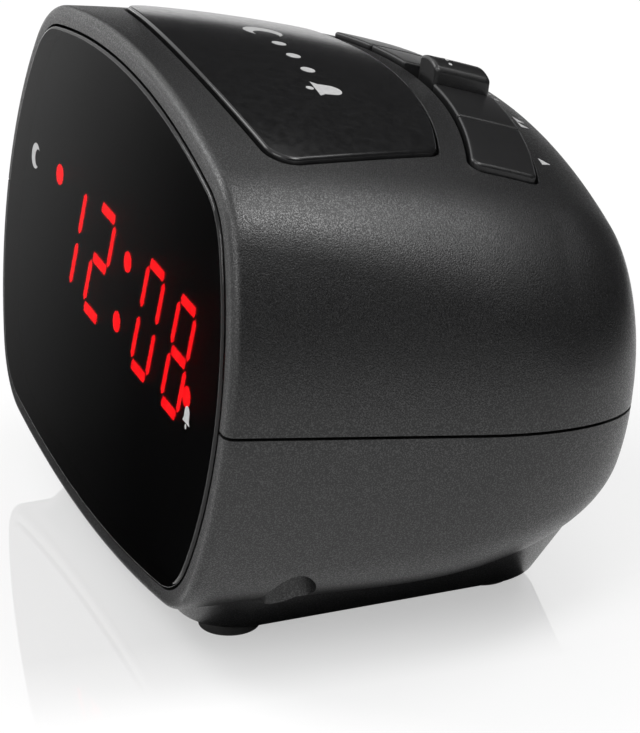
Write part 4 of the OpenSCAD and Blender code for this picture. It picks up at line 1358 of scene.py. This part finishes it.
print("lit bars:", sum(len(BARS_OF[figure]) for figure in TIME_SHOWN))

# %% [markdown]
# ## Guides and faces
# A guide of red epoxy fills each pocket of the reflector with a little play. The lit face on the film before
# it is thin, and as large as the light shows. The points are laid out flat, and one matrix stands them up
# behind the window.

# %% Lit and dark bars
DIGIT_H = 15.24
DIGIT_W = 6.9
SEGMENT_W = 1.7
SEGMENT_GAP = 0.2
SEGMENT_PLAY = 0.03
DISPLAY_FRONT = 1.8
DISPLAY_BACK = 3.05
DOT_R = 1.6
FACE_FRONT = 1.7
FACE_BACK = 1.78
FACE_HALF_X = 3.16
FACE_HALF_Z = 7.32
FACE_RISE = 0.2
ACROSS_DISPLAY = Matrix(((1, 0, 0, 0), (0, 0, -1, 0), (0, 1, 0, 0), (0, 0, 0, 1)))
half_x = (DIGIT_W - SEGMENT_W) / 2
half_z = (DIGIT_H - SEGMENT_W) / 2


def display_piece(name, spots, back, **values):
    points = [(x, z, -back) for x, z, kind in spots]
    obj = points_object(name, points, kind=[kind for x, z, kind in spots])
    grow_tree(obj, DISPLAY_TREE, Slant=math.radians(DIGIT_SLANT), Level=float(DIGIT_LEVEL), **values)
    obj.data.transform(IN_BODY @ ACROSS_DISPLAY)
    return finish_mesh(obj)


gap = 2 * (SEGMENT_GAP + SEGMENT_PLAY)
segment = SEGMENT_W - 2 * SEGMENT_PLAY
pocket = dict(
    Width=segment,
    Thin=segment,
    Wide=2 * half_x - gap,
    Tall=half_z - gap,
    Tip=segment / 2,
    Depth=DISPLAY_BACK - DISPLAY_FRONT,
    Dot=DOT_R - SEGMENT_PLAY,
)
face = dict(Width=1.4, Thin=1.1, Wide=5.4, Tall=5.9, Tip=0.2, Depth=FACE_BACK - FACE_FRONT, Dot=1.35)
lit_spots = display_spots(True, (half_x, half_z), DIGIT_LEVEL)
dark_spots = display_spots(False, (half_x, half_z), DIGIT_LEVEL)
face_spots = display_spots(True, (FACE_HALF_X, FACE_HALF_Z), DIGIT_LEVEL + FACE_RISE)
lit_bars = display_piece("lit_bars", lit_spots, DISPLAY_BACK, Finish=GUIDE, **pocket)
dark_bars = display_piece("dark_bars", dark_spots, DISPLAY_BACK, Finish=LED_OFF, **pocket)
lit_faces = display_piece("lit_faces", face_spots, FACE_BACK, Finish=LED_LIT, **face)

# %% [markdown]
# ## Feet and screws
# Four rubber feet and three case screws are each one turned shape in several places, so a second tree puts
# copies of a shape on points. A foot has a rolled lower edge. A screw has a domed head with a cross recess,
# which is all that shows of it at the bottom of its well.

# %% Node tree for copies
FOOT_ROUND = 0.35
SCREW_R = 1.35
SCREW_END = 8
SCREW_HEAD_R = 2.6
SCREW_HEAD_H = 1.8
SCREW_DOME = [(0.55, 0), (0.8, 0.15), (0.94, 0.45), (1, 0.9)]
CROSS_L = 2.6
CROSS_W = 0.6
CROSS_D = 0.9


def copies_tree():
    w, given, leave = new_tree("copies", Shape="Object", Finish="Material")
    source = {"Object": given["Shape"], "As Instance": True}
    shape = w.make("GeometryNodeObjectInfo", None, source, output="Geometry")
    copies = w.make("GeometryNodeInstanceOnPoints", None, {"Points": given["Points"], "Instance": shape})
    real = w.make("GeometryNodeRealizeInstances", None, {"Geometry": copies})
    done = w.make("GeometryNodeSetMaterial", None, {"Geometry": real, "Material": given["Finish"]})
    w.tree.links.new(done.socket, leave.inputs[0])
    return w.tree


COPIES_TREE = copies_tree()
STILL = Matrix.Identity(4)


def copies(name, shape, places, place, material):
    obj = points_object(name, [(x, y, 0) for x, y in places])
    grow_tree(obj, COPIES_TREE, Shape=shape, Finish=material)
    bpy.data.objects.remove(shape)
    obj.data.transform(place)
    return finish_mesh(obj)


def foot_shape():
    rolled = [(FOOT_R - inset, -FOOT_H + up) for inset, up in quarter_round(FOOT_ROUND)]
    return rod(0, 0, rolled + [(FOOT_R, FOOT_SINK)], STILL)


def screw_shape():
    low = WELL_TOP - SCREW_HEAD_H
    head = [(SCREW_HEAD_R * share, low + up) for share, up in SCREW_DOME]
    shank = [(SCREW_HEAD_R, WELL_TOP), (SCREW_R, WELL_TOP), (SCREW_R, SCREW_END)]
    screw = rod(0, 0, head + shank, STILL, 48)
    bar = np.array([(-CROSS_L / 2, -CROSS_W / 2), (CROSS_L / 2, CROSS_W / 2)])
    arms = [rectangle(*bar[:, 0], *bar[:, 1]), rectangle(*bar[:, 1], *bar[:, 0])]
    cross = [prism([arm, arm], [low - PAST, low + CROSS_D], STILL) for arm in arms]
    return combine(screw, "DIFFERENCE", *cross)


feet = copies("feet", foot_shape(), FEET, ON_BASE, RUBBER)
screws = copies("screws", screw_shape(), CASE_SCREWS, IN_BODY, STEEL)

# %% [markdown]
# ## Printed marks
# Pale ink says what the lights and keys do, in signs that need no language: a crescent for the evening light,
# a bell for the alarm light, a resting row on the snooze bar, one triangle or two for minutes and hours. Each
# is one or more outlines about its own middle, at a size of 1, from arcs where it is round.

# %% Signs


def disc(radius, at=(0, 0), steps=32):
    return arc(at, radius, 0, 360, steps)[:-1]


def crescent():
    horn = 0.5 * np.array([math.cos(math.radians(40)), math.sin(math.radians(40))])
    bite = np.array([0.28, 0.0])
    turn = heading(horn - bite)
    inner = arc(bite, np.linalg.norm(horn - bite), 360 - turn, turn, 28)
    return [np.vstack([arc((0, 0), 0.5, 40, 320, 36), inner[1:-1]])]


def bell():
    dome = arc((0, 0.14), 0.28, 0, 180, 20)
    skirt = [(-0.3, -0.1), (-0.42, -0.26), (0.42, -0.26), (0.3, -0.1)]
    return [np.vstack([dome, skirt]), disc(0.1, (0, -0.4), 20)]


def dot():
    return [disc(0.5)]


def triangle():
    return [arc((0, 0), 0.5, 90, 330, 2)]


def clock_face():
    ring = [np.vstack([arc((0, 0), 0.5, a, a + 180, 24), arc((0, 0), 0.4, a + 180, a, 24)]) for a in (0, 180)]
    return ring + [rectangle(-0.04, 0.04, -0.04, 0.3), rectangle(0.04, 0.24, -0.04, 0.04)]


print("points in the bell:", sum(len(outline) for outline in bell()))

# %% [markdown]
# ## Ink
# Ink is a film, so each sign is a thin plate that follows its surface and dips a little into it. A short
# function stands for each surface and says where a point of the sign comes to lie on it.

# %% Ink
INK_UP = 0.04
INK_DOWN = 0.06


def printed(name, signs, lay):
    """Plates of ink. A sign is its outlines, its middle and its size; lay gives the place of a point."""
    points = []
    faces = []
    for outlines, middle, size in signs:
        for outline in outlines:
            plan = np.array(middle) + size * outline
            n = len(plan)
            first = len(points)
            for lift in (-INK_DOWN, INK_UP):
                points += [IN_BODY @ Vector(lay(x, y, lift)) for x, y in plan]
            low = [first + k for k in range(n)]
            faces += [tuple(low), tuple(n + k for k in low)]
            faces += [(a, b, n + b, n + a) for a, b in zip(low, low[1:] + low[:1])]
    return finish_mesh(mesh_object(name, points, faces))


def on_window(x, y, lift):
    return x, -LENS_PROUD - lift / 2, y


def on_snooze(x, y, lift):
    return x, y, roof_skin(x, y) + SNOOZE_PROUD + lift


def on_case(x, y, lift):
    return x, y, roof_skin(x, y) + lift


def on_knob(x, y, lift):
    return x, y, roof_skin(x, y) + KNOB_PROUD - knob_dip(np.array([[x, y]]))[0] + lift


# %% [markdown]
# ## Where the signs stand
# The window's two signs stand beside their lights. The snooze row runs across the middle of the bar. Behind
# the strip each sign stands at its own key, on an arc that follows the strip's rear edge.

# %% Print
EVENING_SIGN_AT = (-34.3, 7.5)
EVENING_SIGN = 3.4
ALARM_SIGN_AT = (34.2, -2.2)
ALARM_SIGN = 3.2
ROW_Y = 21.6
ROW_SIGN = 5.2
ROW_DOT = 1.9
ROW_CRESCENT_X = -14.0
ROW_DOTS_X = (-7.6, -2.0, 3.6)
ROW_BELL_X = 10.4
KEY_SIGN = 1.9
PAIR_HALF = 0.95
SIGN_GAP = 1.9
SIGN_ARC_R = STRIP_R2 + SIGN_GAP
SWITCH_DOT = 0.7
KNOB_TRAVEL = 2.5
KNOB_DOT = 0.5
KNOB_DOTS_X = (-1.3, 0, 1.3)
KNOB_DOTS_Y = 42.8


def behind(x):
    """Point behind the strip at x."""
    return x, ARC_CENTRE + math.sqrt(SIGN_ARC_R**2 - x**2)


beside_lights = [(crescent(), EVENING_SIGN_AT, EVENING_SIGN), (bell(), ALARM_SIGN_AT, ALARM_SIGN)]
window_signs = printed("window_signs", beside_lights, on_window)
row = [(crescent(), (ROW_CRESCENT_X, ROW_Y), ROW_SIGN)]
row += [(dot(), (x, ROW_Y), ROW_DOT) for x in ROW_DOTS_X]
row.append((bell(), (ROW_BELL_X, ROW_Y), ROW_SIGN))
snooze_row = printed("snooze_row", row, on_snooze)
signs = [(bell(), behind(key_middle("alarm")), KEY_SIGN)]
signs.append((clock_face(), behind(key_middle("time")), KEY_SIGN))
signs += [(triangle(), behind(key_middle("hour") + side), KEY_SIGN) for side in (-PAIR_HALF, PAIR_HALF)]
signs.append((triangle(), behind(key_middle("minute")), KEY_SIGN))
signs += [(dot(), behind(knob_middle - shift), SWITCH_DOT) for shift in (0, KNOB_TRAVEL)]
key_signs = printed("key_signs", signs, on_case)
dots = [(dot(), (knob_middle + x, KNOB_DOTS_Y), KNOB_DOT) for x in KNOB_DOTS_X]
knob_dots = printed("knob_dots", dots, on_knob)

# %% [markdown]
# ## Fitting
# Each new piece rides on the body of the solid that it stands for, so that it moves with it, and gets a
# finish of its own. The solids whose shapes are right stay, and get their finish through their slots.

# %% Ride, replace and dress


def fit(obj, body, slot, material, *replaced):
    obj.data.materials.clear()
    obj.data.materials.append(material)
    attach(obj, body)
    if replaced:
        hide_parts(*replaced)


fit(upper_shell, "case", "housing", CHARCOAL, "upper_housing")
fit(lower_shell, "case", "housing", CHARCOAL, "lower_housing")
fit(window, "case", "window", SMOKED, "front_lens")
fit(snooze_key, "snooze", "gloss_key", GLOSS, "snooze_bar")
for key, obj in keys.items():
    fit(obj, f"{key}_key", "gloss_key", SATIN, f"{key}_button")
fit(switch_slider, "alarm_switch", "gloss_key", SATIN, "switch_knob")
fit(lit_bars, "case", "led_red", GUIDE, "lit_segments")
fit(lit_faces, "case", "led_red", LED_LIT)
fit(dark_bars, "case", "led_dark", LED_OFF, "unlit_segments")
fit(feet, "case", "foot_rubber", RUBBER, "rubber_feet")
fit(screws, "case", "plated_steel", STEEL, "case_screws")
fit(window_signs, "case", "window", INK)
fit(key_signs, "case", "housing", INK)
fit(snooze_row, "snooze", "gloss_key", INK)
fit(knob_dots, "alarm_switch", "gloss_key", INK)

DRESS = {
    CHARCOAL: ["battery_door"],
    INNER: ["display_reflector", "sounder", "tact_switches"],
    EPOXY: ["clock_chip", "diodes"],
    BOARD: ["main_board", "control_board"],
    SLEEVE: ["capacitors"],
    CORE: ["transformer_core"],
    COIL: ["transformer_coil"],
    STEEL: ["control_board_screws", "backup_cell"],
    DULL_STEEL: ["slide_switch"],
    BRASS: ["cell_contact"],
    RIBBON: ["ribbon_cable"],
    NYLON: ["switch_lever"],
}
for material, names in DRESS.items():
    for name in names:
        for slot in nodes[name].material_slots:
            slot.link = "OBJECT"
            slot.material = material
print("dressed:", sum(len(names) for names in DRESS.values()), "solids")

# %% [markdown]
# ## Lamps
# The picture is a product shot on a light table. A soft lamp stands high behind the clock. A small one close
# over the right rear corner gives the shoulder its bright band, and two broad ones fill from the front. They
# are set so that a colour comes out about as it is written.

# %% Lamps
MIDDLE = Vector((0, 0, 0.03))


def lamp(name, azimuth, elevation, distance, size, watts):
    data = bpy.data.lights.new(name, "AREA")
    data.size = size
    data.energy = watts
    obj = bpy.data.objects.new(name, data)
    way = direction(azimuth, elevation)
    stand_at(obj, MIDDLE + way * distance, way)
    obj.visible_camera = False


lamp("overhead", azimuth=188, elevation=58, distance=0.8, size=0.3, watts=1.1)
lamp("corner", azimuth=115, elevation=57, distance=0.134, size=0.035, watts=0.04)
lamp("front_left", azimuth=-45, elevation=42, distance=1.1, size=0.6, watts=5.0)
lamp("front_right", azimuth=38, elevation=42, distance=1.1, size=0.6, watts=4.0)
print("lamps:", ", ".join(light.name for light in bpy.data.lights))

# %% [markdown]
# ## Flags
# Dark cards keep the flanks and the window dark, as a photographer's flags do. They cast no shadow, and only
# reflections see them. The card before the window grows pale to its left, which paints a faint reflection of
# light into the window. The floor is the one perfect mirror here, and its rays pass through the cards, so
# they don't show in it.

# %% Flags
FLAG_LIFT = 0.0003
FLAG_RADIUS = 1.2
FLAG_POINTS = 25
FLAG_TOP = 0.92
FLAG_AZIMUTHS = (75, 262)
TALL_TOP = 1.5
TALL_AZIMUTHS = (180, 224)
WINDOW_CARD = [(0.036, -0.033), (-0.14, -0.12), (-0.4, -0.12), (-0.4, -0.033)]
BASE_CARD = [(0.036, -0.025), (0.036, 0.02), (-0.036, 0.02), (-0.036, -0.025)]
REAR_CARD = [(0.6, 0.16), (0.6, 1.2), (-0.4, 1.2), (-0.4, 0.16)]
# Grade of the card before the window: its pale part paints a reflection of light into the window.
PAINTED_REFLECTION_LEVEL = 0.212
PAINTED_REFLECTION_BY_X = -2.1432
PAINTED_REFLECTION_BY_Y = 4.965
PAINTED_REFLECTION_GAIN = 5.1


def unseen_by_floor(material, w, shader):
    """Lets pass the rays of a perfect mirror."""
    sharp = w.make("ShaderNodeLightPath", output="Is Singular Ray")
    cloth = Wire(w.tree, shader.outputs[0])
    mixed = w.make("ShaderNodeMixShader", None, {0: sharp, 1: cloth, 2: w.make("ShaderNodeBsdfTransparent")})
    w.tree.links.new(mixed.socket, w.tree.nodes["Material Output"].inputs["Surface"])
    return material


def painted_reflection_card():
    """Black before the clock and paler away to its left, where the window mirrors it as a painted pale
    reflection of light.
    """
    material, w, shader = principled("flag_cloth", Roughness=1.0, Specular_IOR_Level=0.0)
    x, y, z = here(w).split()
    level = w.math("MAXIMUM", PAINTED_REFLECTION_LEVEL + PAINTED_REFLECTION_BY_X * x + PAINTED_REFLECTION_BY_Y * y, 0.0)
    plug(PAINTED_REFLECTION_GAIN * level * level, shader, "Base Color")
    return unseen_by_floor(material, w, shader)


def black_cloth():
    material, w, shader = principled("black_cloth", Roughness=1.0, Specular_IOR_Level=0.0)
    nap = noise(w, here(w), 300.0)
    plug(ramp(w, nap, (0.3, grey(0.02)), (0.7, grey(0.035))), shader, "Base Color")
    return unseen_by_floor(material, w, shader)


def flag(name, points, faces, material):
    card = mesh_object(name, points, faces)
    card.data.materials.append(material)
    card.visible_camera = False
    card.visible_diffuse = False
    card.visible_shadow = False
    card.visible_transmission = False


def flat_flag(name, corners, material):
    """Card that lies on the table."""
    flag(name, [(x, y, FLAG_LIFT) for x, y in corners], [(0, 1, 2, 3)], material)


def bent_flag(name, azimuths, bottom, top):
    """Upright card bent round the table."""
    ways = [direction(a, 0) for a in np.linspace(*azimuths, FLAG_POINTS)]
    low = [tuple(way * FLAG_RADIUS + Vector((0, 0, bottom))) for way in ways]
    high = [(x, y, top) for x, y, z in low]
    n = len(ways)
    faces = [(i, i + 1, n + i + 1, n + i) for i in range(n - 1)]
    flag(name, low + high, faces, BLACK_CLOTH)


BLACK_CLOTH = black_cloth()
bent_flag("side_flag", FLAG_AZIMUTHS, 0.0, FLAG_TOP)
bent_flag("tall_flag", TALL_AZIMUTHS, FLAG_TOP, TALL_TOP)
# The window card's pale grade is a painted reflection of light in the window.
flat_flag("window_flag", WINDOW_CARD, painted_reflection_card())
flat_flag("base_flag", BASE_CARD, BLACK_CLOTH)
flat_flag("rear_flag", REAR_CARD, BLACK_CLOTH)

# %% [markdown]
# ## Table and background
# The table is pale and glows, takes the shadow and mirrors the clock weakly, less and less towards the
# viewer. A matt shader mixed with plain white gives the glow and the shadow, and a perfect mirror is mixed in
# on top. The background is white where it is seen and weaker as a light.

# %% Table and background
WORLD_LIGHT = 0.56
TABLE_GLOW = 0.58
TABLE_HALF = 4
MIRROR = 0.19
FADE_START = 0.028
FADE_END = 0.048
SEEN_BY = ("Camera", "Glossy", "Transmission")
WHITE = (1, 1, 1, 1)


def seen_rays(w):
    """1 for rays from the eye, from mirrors and through glass, else 0."""
    eye, mirrors, glass = (w.make("ShaderNodeLightPath", output=f"Is {kind} Ray") for kind in SEEN_BY)
    return w.math("MINIMUM", eye + mirrors + glass, 1.0)


def make_floor():
    material, w, shader = principled("pale_floor", Roughness=1.0, Specular_IOR_Level=0.0)
    shader.inputs["Base Color"].default_value = (0.95, 0.95, 0.95, 1)
    white = w.make("ShaderNodeEmission", None, {"Color": WHITE, "Strength": 1.0})
    surface = Wire(w.tree, shader.outputs[0])
    table = w.make("ShaderNodeMixShader", None, {0: TABLE_GLOW * seen_rays(w), 1: surface, 2: white})
    x = here(w).split()[0]
    fade = w.make("ShaderNodeMapRange", None, {"Value": x, "From Min": FADE_START, "From Max": FADE_END})
    mirror = w.make("ShaderNodeBsdfAnisotropic", None, {"Color": WHITE, "Roughness": 0.0})
    mixed = w.make("ShaderNodeMixShader", None, {0: MIRROR * (1.0 - fade), 1: table, 2: mirror})
    w.tree.links.new(mixed.socket, w.tree.nodes["Material Output"].inputs["Surface"])
    corners = rectangle(-TABLE_HALF, TABLE_HALF, -TABLE_HALF, TABLE_HALF)
    floor = mesh_object("floor", [(x, y, 0) for x, y in corners], [(0, 1, 2, 3)])
    floor.data.materials.append(material)


def make_world():
    world = bpy.data.worlds.new("studio")
    world.use_nodes = True
    w = Wire(world.node_tree)
    background = world.node_tree.nodes["Background"]
    background.inputs["Color"].default_value = WHITE
    plug(WORLD_LIGHT + (1 - WORLD_LIGHT) * seen_rays(w), background, "Strength")
    bpy.context.scene.world = world


make_floor()
make_world()
print("table:", 2 * TABLE_HALF, "m wide")
